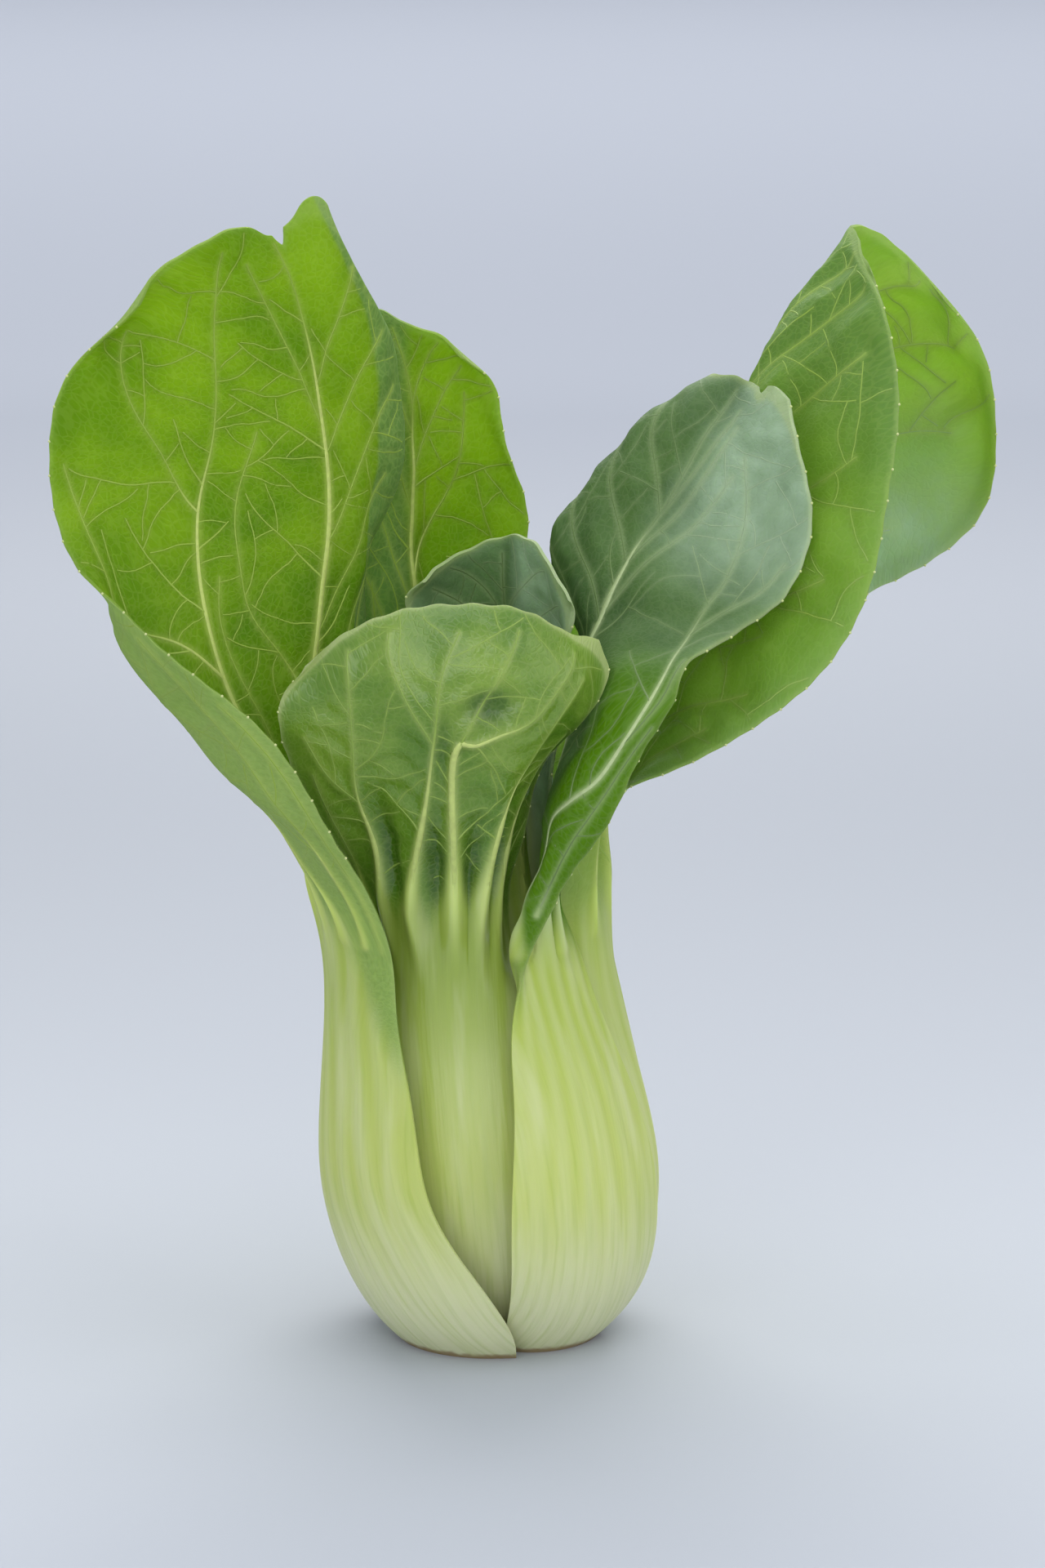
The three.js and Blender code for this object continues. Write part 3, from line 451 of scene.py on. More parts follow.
class LeafSheet:
    # a leaf's middle surface on an even grid of rows s and guides u
    def __init__(self, name):
        leaf = {**usualLeaf, **leaves[name]}
        self.name, self.leaf = name, leaf
        blade = np.reshape(leaf["blade"], (-1, guides, 3)) if "blade" in leaf else cupRows(leaf)
        rows = np.concatenate([np.array(stalkRows(leaf), float), np.array(blade, float)])
        nv, nu = leaf["mesh"]
        self.last = len(rows) - 1
        s, u = np.linspace(0, self.last, nv), np.linspace(0, guides - 1, nu)
        grid = np.einsum("ar,rgc,bg->abc", curveWeights(s, len(rows)), rows, curveWeights(u, guides))
        grid = soften(grid, 0, sheetShape["softRows"] * nv / self.last)
        grid = soften(grid, 1, sheetShape["softColumns"] * nu / (guides - 1))
        grid = self.trimTop(grid, s, u)
        self.points = grid
        self.s, self.u = np.meshgrid(s, u, indexing="ij")
        self.stepS, self.stepU = self.last / (nv - 1), (guides - 1) / (nu - 1)
        self.along = np.gradient(grid, axis=0) / self.stepS
        self.across = np.gradient(grid, axis=1) / self.stepU
        self.normal = unit(np.cross(self.across, self.along)) * leaf["side"]
        self.flatten()
        self.fields()

    def trimTop(self, grid, s, u):
        # pulls the top margin in where it is nicked and between its small scallops
        top = grid[-1]
        span = runAlong(top)
        rowLength = np.linalg.norm(grid[-1] - grid[-6], axis=-1).mean() / (s[-1] - s[-6])
        scallops = 0.5 + 0.5 * np.cos(2 * math.pi * span / relief["notchPitch"])
        cut = (relief["notchDepth"] + 0.1) / rowLength * scallops
        for place, wide, deep in self.leaf["nicks"]:
            cut += deep * np.maximum(0, 1 - np.abs(u - place) / wide) ** sheetShape["nickCurve"]
        pull = (s[:, None] / self.last) ** sheetShape["topPull"]
        rows = s[:, None] * (1 - cut[None] / self.last * pull) / (s[1] - s[0])
        i = np.clip(np.floor(rows).astype(int), 0, len(s) - 2)
        f, columns = (rows - i)[..., None], np.arange(len(u))
        return grid[i, columns] * (1 - f) + grid[i + 1, columns] * f

    def flatten(self):
        # unrolls the sheet: x across and y along, in millimetres, from the midrib outwards
        goes = unit(self.along)
        step = np.diff(self.points, axis=1)
        middle = unit(goes[:, 1:] + goes[:, :-1])
        dy = (step * middle).sum(-1)
        dx = np.sqrt(np.maximum((step ** 2).sum(-1) - dy ** 2, 0))
        x = np.concatenate([np.zeros((len(dx), 1)), np.cumsum(dx, 1)], 1)
        y = np.concatenate([np.zeros((len(dy), 1)), np.cumsum(dy, 1)], 1)
        k = int(round(self.leaf["rib"] / self.stepU))
        up = runAlong(self.points[:, k])
        self.flatX = x - x[:, k:k + 1]
        self.flatY = y - y[:, k:k + 1] + up[:, None]

    def fields(self):
        # distances to the side and top margins in millimetres, and where stalk turns to blade
        left = self.flatX - self.flatX[:, :1]
        right = self.flatX[:, -1:] - self.flatX
        rowLength = np.linalg.norm(self.along, axis=-1)
        top = (self.last - self.s) * rowLength
        self.sideGap = np.minimum(left, right)
        blend = sheetShape["cornerBlend"]
        self.edgeGap = -blend * np.log(np.exp(-self.sideGap / blend) + np.exp(-top / blend) + 1e-9)
        self.edgeGap = np.maximum(self.edgeGap, 0)
        self.reach = self.s + self.leaf["wedge"] * (1 - smooth(0, sheetShape["wedgeGuides"], self.u))
        self.bladeShare = grown("blade", self.reach)
        self.way = np.clip((self.s - 6) / (self.last - 6), 0, 1)

    def at(self, grid, s, u):
        a = np.clip(s / self.stepS, 0, grid.shape[0] - 1.001)
        b = np.clip(u / self.stepU, 0, grid.shape[1] - 1.001)
        i, j = int(a), int(b)
        f, g = a - i, b - j
        low = grid[i, j] * (1 - g) + grid[i, j + 1] * g
        return low * (1 - f) + (grid[i + 1, j] * (1 - g) + grid[i + 1, j + 1] * g) * f


print("leaf sheets")
sheets = {name: LeafSheet(name) for name in leaves}


# Veins grow on each sheet: the drawn ones first, then branches, then the net between them
veinGrowth = {
    "step": 1.2,
    "branches": {"spacing": 10, "angle": 50, "length": 17, "bend": 1.2, "wander": 7,
                 "thick": 0.37, "thin": 0.3, "clear": 1.1},
    "net": {"spacing": 6.2, "angle": 76, "length": 15, "bend": 0.5, "wander": 15,
            "thick": 0.308, "thin": 0.29, "clear": 0.9},
    "firstRow": 6.3,
    "branchRow": 6.8,
    "marginGap": 0.8,
    "branchGap": 2,
    "thinnest": 0.31,
    "seed": 7,
}


class Vein:
    def __init__(self, places, radii, level):
        self.places, self.radii, self.level = places, radii, level


def plainVeins(sheet):
    # midrib and paired side veins for a leaf with no drawn veins
    last, rib = sheet.last, sheet.leaf["rib"]
    size = bulb["stalkThickness"][sheet.leaf["whorl"]] / 4.8
    midrib = [(5, rib, 1.4 * size), (6.5, rib, 1.3 * size),
              (last - 1.5, rib, 0.6 * size), (last - 0.3, rib, 0.33)]
    sides = []
    for k in range(5):
        start = 6.2 + k * (last - 7.4) / 5
        end = min(start + 0.36 * (last - 5) + 0.8, last - 0.25)
        reach = 2.45 - 0.9 * max(0, k - 2) / 2
        sides += [(start, -1, end, rib - reach, 0.55 * size), (start + 0.2, 1, end, rib + reach, 0.55 * size)]
    return {"veins": [midrib], "sideVeins": sides}


def drawnVeins(sheet):
    chart = sheet.leaf if "veins" in sheet.leaf else plainVeins(sheet)
    lines = [list(line) for line in chart["veins"]]
    rib = sheet.leaf["rib"]
    for start, _, end, reach, radius in chart["sideVeins"]:
        rise, span = end - start, reach - rib
        lines.append([(start, rib, radius), (start + 0.34 * rise, rib + 0.26 * span, radius * 0.85),
                      (start + 0.7 * rise, rib + 0.62 * span, radius * 0.68),
                      (end, reach, veinGrowth["thinnest"])])
    veins = []
    for line in lines:
        marks = np.array(line, float)
        length = 0
        for a, b in zip(marks[:-1], marks[1:]):
            pa, pb = sheet.at(sheet.points, a[0], a[1]), sheet.at(sheet.points, b[0], b[1])
            length += np.linalg.norm(pb - pa)
        count = max(6, int(length / veinGrowth["step"]))
        t = np.linspace(0, len(marks) - 1, count)
        fine = curveWeights(t, len(marks)) @ marks
        slim = 1 - 0.42 * grown("slimVeins", fine[:, 0])
        radii = np.maximum(fine[:, 2] * slim, veinGrowth["thinnest"])
        veins.append(Vein([(p[0], p[1]) for p in fine], list(radii), 0))
    return veins


class Ground:
    # remembers where veins run, finely enough that none is crossed unseen
    def __init__(self):
        self.points, self.owner, self.count = np.zeros((120000, 3)), np.zeros(120000, int), 0

    def add(self, points, owner):
        line = [points[0]]
        for a, b in zip(points[:-1], points[1:]):
            line += [a + (b - a) * f for f in (0.33, 0.66, 1)]
        self.points[self.count:self.count + len(line)] = line
        self.owner[self.count:self.count + len(line)] = owner
        self.count += len(line)

    def nearest(self, point, skip):
        away = np.linalg.norm(self.points[:self.count] - point, axis=1)
        if skip is not None:
            away[self.owner[:self.count] == skip] = 99
        hit = int(np.argmin(away))
        return away[hit], hit


def walk(sheet, rng, rule, ground, s, u, heading, bend, parent):
    # one vein steps over the sheet until it meets another, the margin or its full length
    places, points, met = [(s, u)], [sheet.at(sheet.points, s, u)], False
    limit, sway = rule["length"] * rng.uniform(0.7, 1.3), 0
    while len(points) * veinGrowth["step"] < limit and not met:
        a, b = sheet.at(sheet.along, s, u), sheet.at(sheet.across, s, u)
        normal = sheet.at(sheet.normal, s, u)
        sway = 0.5 * sway + rng.uniform(-rule["wander"], rule["wander"])
        twist = bend + math.radians(sway)
        turned = heading * math.cos(twist) + np.cross(normal, heading) * math.sin(twist)
        m = np.array([[a @ a, a @ b], [a @ b, b @ b]])
        ds, du = np.linalg.solve(m, veinGrowth["step"] * np.array([a @ turned, b @ turned]))
        s, u = s + ds, u + du
        if not (veinGrowth["firstRow"] < s < sheet.last - 0.05 and 0.05 < u < guides - 1.05):
            return places, points, len(points) > 4
        point = sheet.at(sheet.points, s, u)
        heading = unit(heading * 0.35 + unit(point - points[-1]) * 0.65)
        places.append((s, u))
        points.append(point)
        if sheet.at(sheet.edgeGap, s, u) < veinGrowth["marginGap"]:
            met = True
        near, hit = ground.nearest(point, parent if len(points) < 5 else None)
        if near < rule["clear"]:
            met = True
            if len(points) > 3:
                points[-1] = ground.points[hit].copy()
    return places, points, met


def growVeins(sheet):
    rng = random.Random(veinGrowth["seed"] + len(sheet.name) * 31 + sheet.last)
    veins, ground = drawnVeins(sheet), Ground()
    for n, vein in enumerate(veins):
        vein.points = [sheet.at(sheet.points, s, u) for s, u in vein.places]
        ground.add(vein.points, n)
    for level, rule in ((1, veinGrowth["branches"]), (2, veinGrowth["net"])):
        for parentIndex, parent in enumerate(list(veins)):
            way, gap, run = 1, rng.uniform(0.3, 1) * rule["spacing"], 0
            for k in range(1, len(parent.places) - 1):
                here, before = parent.points[k], parent.points[k - 1]
                run += np.linalg.norm(here - before)
                if run < gap:
                    continue
                run, way = 0, -way
                gap = rule["spacing"] * rng.uniform(0.45, 0.8) if level == 2 else rule["spacing"]
                s, u = parent.places[k]
                if s < veinGrowth["branchRow"] or sheet.at(sheet.edgeGap, s, u) < veinGrowth["branchGap"]:
                    continue
                normal = sheet.at(sheet.normal, s, u)
                forward = unit(here - before)
                turn = way * math.radians(rule["angle"] * rng.uniform(0.85, 1.15))
                heading = forward * math.cos(turn) + np.cross(normal, forward) * math.sin(turn)
                bend = -way * math.radians(rule["bend"] * rng.uniform(0, 1.6))
                places, points, met = walk(sheet, rng, rule, ground, s, u, heading, bend, parentIndex)
                if len(points) < 4 or level == 2 and not met:
                    continue
                thick = min(rule["thick"], max(parent.radii[k] * 0.9, rule["thin"]))
                vein = Vein(places, list(np.linspace(thick, rule["thin"], len(points))), level)
                vein.points = points
                veins.append(vein)
                ground.add(points, len(veins) - 1)
    return veins


print("veins")
for sheet in sheets.values():
    sheet.veins = growVeins(sheet)
    print(" ", sheet.name, len(sheet.veins))


def veinTree(sheet, levels):
    marks = []
    for vein in sheet.veins:
        if vein.level not in levels:
            continue
        points = [sheet.at(sheet.points, s, u) for s, u in vein.places]
        for k in range(len(points) - 1):
            for f in (0, 0.25, 0.5, 0.75):
                radius = vein.radii[k] * (1 - f) + vein.radii[k + 1] * f
                marks.append((points[k] * (1 - f) + points[k + 1] * f, radius))
    tree = KDTree(len(marks))
    for n, (point, _) in enumerate(marks):
        tree.insert(point, n)
    tree.balance()
    return tree, [r for _, r in marks]


def veinDistances(sheet, levels):
    tree, radii = veinTree(sheet, levels)
    gap = np.full(sheet.s.shape, 99.0)
    radius = np.full(sheet.s.shape, 0.3)
    rows, columns = np.nonzero(sheet.s > 4.6)
    for i, j in zip(rows, columns):
        _, n, d = tree.find(sheet.points[i, j])
        gap[i, j], radius[i, j] = d, radii[n]
    return gap, radius


def puckers(sheet):
    # low soft bumps made of a few crossing waves
    rng = random.Random(len(sheet.name) * 7)
    out = np.zeros_like(sheet.s)
    short, long = relief["puckerLength"]
    for _ in range(relief["softPuckers"]):
        length, turn, shift = rng.uniform(short, long), rng.uniform(0, math.pi), rng.uniform(0, 6.3)
        phase = (sheet.flatX * math.cos(turn) + sheet.flatY * math.sin(turn)) / length
        out += math.sqrt(length / long) * np.sin(2 * math.pi * phase + shift)
    return out / 3


def zones(sheet):
    # where a leaf gets painted light and shade, as 0 to 1: a deep green painted glow of light through the leaf,
    # which on the right leaf is painted shade; a duller, bluer painted sheen and shade; and pale waxy bloom that
    # is partly painted sheen
    none = np.zeros_like(sheet.s)
    x, s, u = sheet.points[..., 0], sheet.s, sheet.u
    frost = relief["bloomSheenShare"] * np.exp(-sheet.edgeGap / relief["bloomSheenReach"])
    # beyond this leaf's fold: painted bluish sheen where the face turns away at a grazing angle
    if sheet.name == "leaf_outer_front_left":
        return none, smooth(4.92, 5.06, u) * smooth(8, 9.5, s), frost
    if sheet.name == "leaf_outer_front_right":
        sunny = np.maximum((1 - smooth(1.9, 2.6, u)) * (1 - smooth(11, 12.6, s)), 1 - smooth(8, 10, s))
        frost = np.maximum(frost, (1 - smooth(1.9, 3.5, u)) * smooth(12.8, 15, s))
        return sunny, none, frost * (1 - sunny)
    if sheet.name == "leaf_outer_right":
        # the near half's upper part: deep green and bluer, painted shade and sheen
        far = smooth(2.9, 3.3, u)
        cool = 0.8 * (1 - far) * smooth(13, 15.2, s)
        return cool, cool, np.maximum(frost, 1.5 * smooth(4.2, 5.6, u) * (1 - smooth(12.8, 15.4, s)))
    if sheet.name == "leaf_outer_back_left":
        return none, 1 - smooth(-16, -13, x), frost
    if sheet.name == "leaf_middle_right":
        return none, 1 - smooth(1, 4, x), np.maximum(frost, smooth(2, 6, x))
    return none, none, frost


def buildFaces(sheet):
    leaf = sheet.leaf
    thick = bulb["stalkThickness"][leaf["whorl"]]
    side = np.abs(2 * sheet.u / (guides - 1) - 1)
    scale = 0.5 + 0.5 * thick / bulb["stalkThickness"][0]
    blade, normal = sheet.bladeShare, sheet.normal
    stalk = bulb["stalkEdge"] + (thick - bulb["stalkEdge"]) * (1 - side ** relief["stalkCurve"])
    rib = bulb["midribRise"] * scale * (1 - sheet.way) ** 1.2
    rib = rib * np.exp(-(sheet.flatX / relief["midribWidth"]) ** 2)
    thickness = stalk + (bulb["bladeThickness"] + rib - stalk) * blade
    inward = np.clip(sheet.sideGap / (relief["marginRound"] - blade), 0, 1)
    roundness = np.sqrt(1 - (1 - inward) ** 2)
    thickness *= 0.4 + 0.6 * roundness
    fade = grown("ridges", sheet.s) * (1 - sheet.way) ** 1.5 * (1 - side ** 6)
    ridge = fade * (0.5 + 0.5 * np.cos(2 * math.pi * bulb["ridges"] * sheet.u / (guides - 1)))

    mainGap, mainRadius = veinDistances(sheet, (0,))
    gap, radius = veinDistances(sheet, (0, 1, 2))
    edge = smooth(0.7, 1, side) * grown("marginWave", sheet.s)
    swing = 2 * math.pi * relief["waveTurns"] * sheet.s + relief["waveShift"] * sheet.u
    wave = relief["marginWave"] * edge * np.sin(swing)
    inBlade = grown("relief", sheet.s)
    hollow = np.zeros_like(wave)
    for s, u, depth, long, wide in leaf["pockets"]:
        hollow = hollow + depth * np.exp(-((sheet.s - s) / long) ** 2 - ((sheet.u - u) / wide) ** 2)
    wave = wave - hollow
    soft = leaf["pucker"] * puckers(sheet) * inBlade * smooth(0, relief["puckerGap"], sheet.edgeGap)
    ripple = np.sin(2 * math.pi * (sheet.flatY + 1.6 * np.sin(0.45 * sheet.flatX)) / relief["ripplePitch"])
    ripple *= (1 - np.exp(-(mainGap / 2) ** 2)) * smooth(*relief["ripplesFrom"], sheet.s)
    ripple *= 1 - smooth(*relief["ripplesTo"], sheet.s)
    soft = soft + leaf["ripple"] * ripple * smooth(0, relief["rippleGap"], sheet.edgeGap)
    middle = sheet.points + normal * (wave + soft)[..., None]
    pillow = leaf["pillow"] * (0.5 - np.exp(-(mainGap / relief["pillowReach"]) ** 2))
    quilt = leaf["quilt"] * (1 - np.exp(-(gap / relief["quiltReach"]) ** 2)) + pillow
    quilt *= inBlade * smooth(0, relief["quiltGap"], sheet.edgeGap)
    width = np.maximum(relief["veinWidth"] * mainRadius, relief["veinLeast"])
    bold = smooth(*relief["boldRadii"], mainRadius)
    rise = relief["veinHeight"] * leaf["cord"] * mainRadius * (0.35 + 0.65 * bold)
    rise = rise * np.exp(-(mainGap / width) ** 2) * grown("veinRelief", sheet.s)
    ridge = ridge * leaf["ridge"]
    outer = middle + normal * (bulb["ridgeRise"] * ridge + rise - quilt)[..., None]
    inner = middle - normal * (thickness + quilt)[..., None]

    # the margin steps in and out between the vein ends
    for column, way in ((0, 1), (-1, -1)):
        run = runAlong(sheet.points[:, column])
        dent = relief["notchDepth"] * (0.5 + 0.5 * np.cos(2 * math.pi * run / relief["notchPitch"]))
        near = np.exp(-np.abs(sheet.flatX - sheet.flatX[:, [column]]) / relief["notchReach"])
        dent = dent[:, None] * near * inBlade
        if column == 0:
            place, out, long = leaf["flare"]
            dent = dent - out * near * np.exp(-((sheet.s - place) / long) ** 2)
        move = unit(sheet.across) * (dent * way)[..., None]
        outer, inner = outer + move, inner + move
    veinBand = np.exp(-(mainGap / np.maximum(1.1 * mainRadius, 0.6)) ** 2)
    boldBand = bold * np.exp(-(mainGap / np.maximum(1.3 * mainRadius, 0.8)) ** 2)
    paleBand = 1.1 * np.exp(-(mainGap / (1.5 * mainRadius)) ** 2)
    marks = {
        "blade": smooth(*leaf["bladeStart"], sheet.reach - paleBand),
        "vein": (0.3 + 0.7 * bold) * veinBand * grown("veinColour", sheet.s),
        # painted highlight: a pale line along the edges
        "rim": np.exp(-sheet.edgeGap / relief["edgeHighlightWidth"]),
        "way": sheet.way,
        # painted shade: the finish darkens the blade in its pockets
        "pocket": np.clip(hollow, 0, 1) * (1 - 0.8 * boldBand),
        "ridge": ridge,
        "net": np.exp(-(gap / (1.2 * radius)) ** 2) * inBlade,
    }
    marks["sunny"], marks["cool"], marks["frost"] = zones(sheet)
    sheet.frost = marks["frost"]
    return outer, inner, marks


def cutFlat(face, marks):
    # pulls the lowest rows up so that each column starts on the cut plane
    count = len(face)
    below = face[..., 2] < 0
    start = below.sum(0)
    if not start.any():
        return face, marks
    first = np.clip(start - 1, 0, count - 2)
    cols = np.arange(face.shape[1])
    z0, z1 = face[first, cols, 2], face[first + 1, cols, 2]
    cross = np.where(start > 0, first + z0 / (z0 - z1 - 1e-9), 0)
    rows = np.arange(count)[:, None]
    zone = np.maximum(3 * cross, 8)[None]
    place = np.where(rows < zone, cross + rows * (zone - cross) / zone, rows)
    i = np.clip(np.floor(place).astype(int), 0, count - 2)

    def take(grid):
        f = place - i if grid.ndim == 2 else (place - i)[..., None]
        return grid[i, cols] * (1 - f) + grid[i + 1, cols] * f

    face = take(face)
    face[0, :, 2] = 0
    return face, {key: take(value) for key, value in marks.items()}


def gridQuads(rows, columns, offset, flip):
    a = (np.arange(rows - 1)[:, None] * columns + np.arange(columns - 1)[None]).ravel() + offset
    quads = np.stack([a, a + 1, a + columns + 1, a + columns], 1)
    return quads[:, ::-1] if flip else quads


def meshFrom(name, points, quads, marks, flat):
    mesh = bpy.data.meshes.new(name)
    mesh.vertices.add(len(points))
    mesh.vertices.foreach_set("co", (points * mm).astype(np.float32).ravel())
    mesh.loops.add(quads.size)
    mesh.loops.foreach_set("vertex_index", quads.ravel().astype(np.int32))
    mesh.polygons.add(len(quads))
    mesh.polygons.foreach_set("loop_start", np.arange(0, quads.size, 4, dtype=np.int32))
    mesh.polygons.foreach_set("use_smooth", np.ones(len(quads), bool))
    mesh.update(calc_edges=True)
    for key, values in marks.items():
        layer = mesh.attributes.new(key, "FLOAT", "POINT")
        layer.data.foreach_set("value", values.astype(np.float32))
    uv = mesh.uv_layers.new(name="flat")
    uv.data.foreach_set("uv", flat[quads.ravel()].astype(np.float32).ravel())
    mesh.validate()
    return mesh


def addPiece(name, mesh, finish, node):
    piece = bpy.data.objects.new(name, mesh)
    bpy.context.scene.collection.objects.link(piece)
    if finish is not None:
        mesh.materials.clear()
        mesh.materials.append(finish)
    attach(piece, "root")
    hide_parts(node)
    return piece


def leafPiece(sheet, finish):
    outer, inner, marks = buildFaces(sheet)
    sheet.faces = (outer, inner)
    flat = np.stack([sheet.flatX, sheet.flatY], -1) / 100
    marks["flatX"], marks["flatY"] = flat[..., 0], flat[..., 1]
    outer, outerMarks = cutFlat(outer, marks)
    inner, innerMarks = cutFlat(inner, marks)
    rows, columns = sheet.s.shape
    count = rows * columns
    flip = sheet.leaf["side"] < 0
    quads = [gridQuads(rows, columns, 0, flip), gridQuads(rows, columns, count, not flip)]
    ring = np.concatenate([
        np.arange(columns - 1), np.arange(rows - 1) * columns + columns - 1,
        (rows - 1) * columns + np.arange(columns - 1, 0, -1), np.arange(rows - 1, 0, -1) * columns])
    after = np.roll(ring, -1)
    wall = np.stack([after, ring, ring + count, after + count], 1)
    quads.append(wall[:, ::-1] if flip else wall)
    merged = {key: np.concatenate([outerMarks[key].ravel(), innerMarks[key].ravel()]) for key in outerMarks}
    merged["face"] = np.concatenate([np.zeros(count), np.ones(count)])
    spread = np.stack([merged.pop("flatX"), merged.pop("flatY")], 1)
    spread[count:, 0] += 3  # the inner face has its own part of the map
    points = np.concatenate([outer.reshape(-1, 3), inner.reshape(-1, 3)])
    mesh = meshFrom(sheet.name, points, np.concatenate(quads), merged, spread)
    onRim = np.zeros(2 * count, bool)
    onRim[ring], onRim[ring + count] = True, True
    ends = np.zeros(len(mesh.edges) * 2, np.int32)
    mesh.edges.foreach_get("vertices", ends)
    a, b = ends.reshape(-1, 2).T
    sharp = mesh.attributes.new("sharp_edge", "BOOLEAN", "EDGE")
    sharp.data.foreach_set("value", onRim[a] & onRim[b] & ((a < count) == (b < count)))
    return addPiece(sheet.name + "_skin", mesh, finish, sheet.name)


class Nodes:
    # short calls for building a node tree
    def __init__(self, tree):
        self.tree = tree
        tree.nodes.clear()

    def node(self, kind, settings=None, **values):
        made = self.tree.nodes.new(kind)
        for key, value in (settings or {}).items():
            setattr(made, key, value)
        for key, value in values.items():
            self.put(made, key.replace("_", " "), value)
        return made

    def put(self, made, key, value):
        # key is a socket's name, or its place written as i0, i1 ...
        socket = made.inputs[int(key[1:])] if key[0] == "i" and key[1:].isdigit() else made.inputs[key]
        if isinstance(value, bpy.types.NodeSocket):
            self.tree.links.new(value, socket)
        else:
            socket.default_value = value

    def math(self, kind, a, b):
        return self.node("ShaderNodeMath", {"operation": kind}, i0=a, i1=b).outputs[0]

    def times(self, a, b):
        return self.math("MULTIPLY", a, b)


# Raised veins and the pale pores at the margin, swept and scattered by one node tree
veinDetail = {"sides": 6, "poreSize": 0.26, "porePitch": 5.6, "poreRow": 7.2, "least": 0.29, "largest": 0.6,
              "thinnest": 0.14, "growth": 1.6, "proud": 0.055, "lift": 0.5, "sunk": 0.1}


def socketOf(tree, name):
    return next(item.identifier for item in tree.interface.items_tree
                if item.name == name and item.in_out == "INPUT")


def veinNodeTree():
    tree = bpy.data.node_groups.new("leaf veins", "GeometryNodeTree")
    inputs = {
        "Geometry": ("Geometry", None), "Sides": ("Int", veinDetail["sides"]), "Radius Scale": ("Float", 1.0),
        "Pore Radius": ("Float", veinDetail["poreSize"] * mm), "Finish": ("Material", None),
    }
    for name, (kind, value) in inputs.items():
        socket = tree.interface.new_socket(name, in_out="INPUT", socket_type="NodeSocket" + kind)
        if value is not None:
            socket.default_value = value
    tree.interface.new_socket("Geometry", in_out="OUTPUT", socket_type="NodeSocketGeometry")
    n = Nodes(tree)
    start = n.node("NodeGroupInput").outputs
    pore, girth = [n.node("GeometryNodeInputNamedAttribute", {"data_type": "FLOAT"}, Name=name).outputs[0]
                   for name in ("pore", "girth")]

    isPore = n.node("FunctionNodeCompare", {"data_type": "FLOAT", "operation": "GREATER_THAN"}, A=pore, B=0.5)
    split = n.node("GeometryNodeSeparateGeometry", Geometry=start["Geometry"],
                   Selection=isPore.outputs["Result"]).outputs
    chain = n.node("GeometryNodeMeshToCurve", Mesh=split["Inverted"])
    radius = n.times(girth, start["Radius Scale"])
    ring = n.node("GeometryNodeCurvePrimitiveCircle", Radius=1, Resolution=start["Sides"])
    tube = n.node("GeometryNodeCurveToMesh", Curve=chain.outputs["Curve"], Scale=radius,
                  Profile_Curve=ring.outputs["Curve"], Fill_Caps=True)

    bead = n.node("GeometryNodeMeshIcoSphere", Subdivisions=1, Radius=start["Pore Radius"])
    beads = n.node("GeometryNodeInstanceOnPoints", Points=split["Selection"], Instance=bead.outputs["Mesh"])
    whole = n.node("GeometryNodeJoinGeometry", Geometry=tube.outputs["Mesh"])
    n.put(whole, "Geometry", beads.outputs["Instances"])
    real = n.node("GeometryNodeRealizeInstances", Geometry=whole.outputs["Geometry"])
    shade = n.node("GeometryNodeSetShadeSmooth", Geometry=real.outputs["Geometry"])
    paint = n.node("GeometryNodeSetMaterial", Geometry=shade.outputs["Geometry"], Material=start["Finish"])
    n.node("NodeGroupOutput", Geometry=paint.outputs["Geometry"])
    return tree


def veinPiece(sheet, tree, finish):
    points, edges, girth, pore, frost = [], [], [], [], []
    outer, inner = sheet.faces
    for face, way in ((outer, -1), (inner, 1)):
        for vein in sheet.veins:
            start = len(points)
            for (s, u), r in zip(vein.places, vein.radii):
                if s < growsIn["tubes"][0]:
                    continue
                extra = min(r, veinDetail["largest"]) - veinDetail["least"]
                out = grown("tubes", s)  # a vein rises out of the stalk gradually
                size = (veinDetail["thinnest"] + extra * veinDetail["growth"]) * (0.3 + 0.7 * out)
                show = veinDetail["proud"] + veinDetail["lift"] * extra
                sink = way * (size + veinDetail["sunk"] - out * (veinDetail["sunk"] + show))
                points.append(sheet.at(face, s, u) + sink * sheet.at(sheet.normal, s, u))
                girth.append(size * mm)
                pore.append(0)
                frost.append(sheet.at(sheet.frost, s, u))
            edges += [(k, k + 1) for k in range(start, len(points) - 1)]
    if sheet.leaf["look"] != "young":
        for column in (0, -1):
            line = 0.5 * (outer[:, column] + inner[:, column])
            run = runAlong(line)
            for mark in np.arange(0.5, run[-1] / veinDetail["porePitch"]) * veinDetail["porePitch"]:
                k = min(int(np.searchsorted(run, mark)), len(line) - 1)
                if sheet.s[k, column] > veinDetail["poreRow"]:
                    points.append(line[k])
                    girth.append(0)
                    pore.append(1)
                    frost.append(0)
    mesh = bpy.data.meshes.new("vein lines")
    mesh.from_pydata([Vector(p) * mm for p in points], edges, [])
    for key, values in (("girth", girth), ("pore", pore), ("frost", frost)):
        mesh.attributes.new(key, "FLOAT", "POINT").data.foreach_set("value", np.array(values, np.float32))
    guide = bpy.data.objects.new("vein lines", mesh)
    bpy.context.scene.collection.objects.link(guide)
    modifier = guide.modifiers.new("veins", "NODES")
    modifier.node_group = tree
    modifier[socketOf(tree, "Finish")] = finish
    modifier[socketOf(tree, "Sides")] = veinDetail["sides"]
    modifier[socketOf(tree, "Pore Radius")] = veinDetail["poreSize"] * mm
    depsgraph = bpy.context.evaluated_depsgraph_get()
    swept = bpy.data.meshes.new_from_object(guide.evaluated_get(depsgraph))
    bpy.data.objects.remove(guide)
    return addPiece(sheet.name + "_veins", swept, None, sheet.name)


# Finishes. Colours are as seen in daylight, 0 to 255
def tint(r, g, b):
    return tuple((c / 255 / 12.92 if c <= 10 else ((c / 255 + 0.055) / 1.055) ** 2.4) for c in (r, g, b)) + (1,)
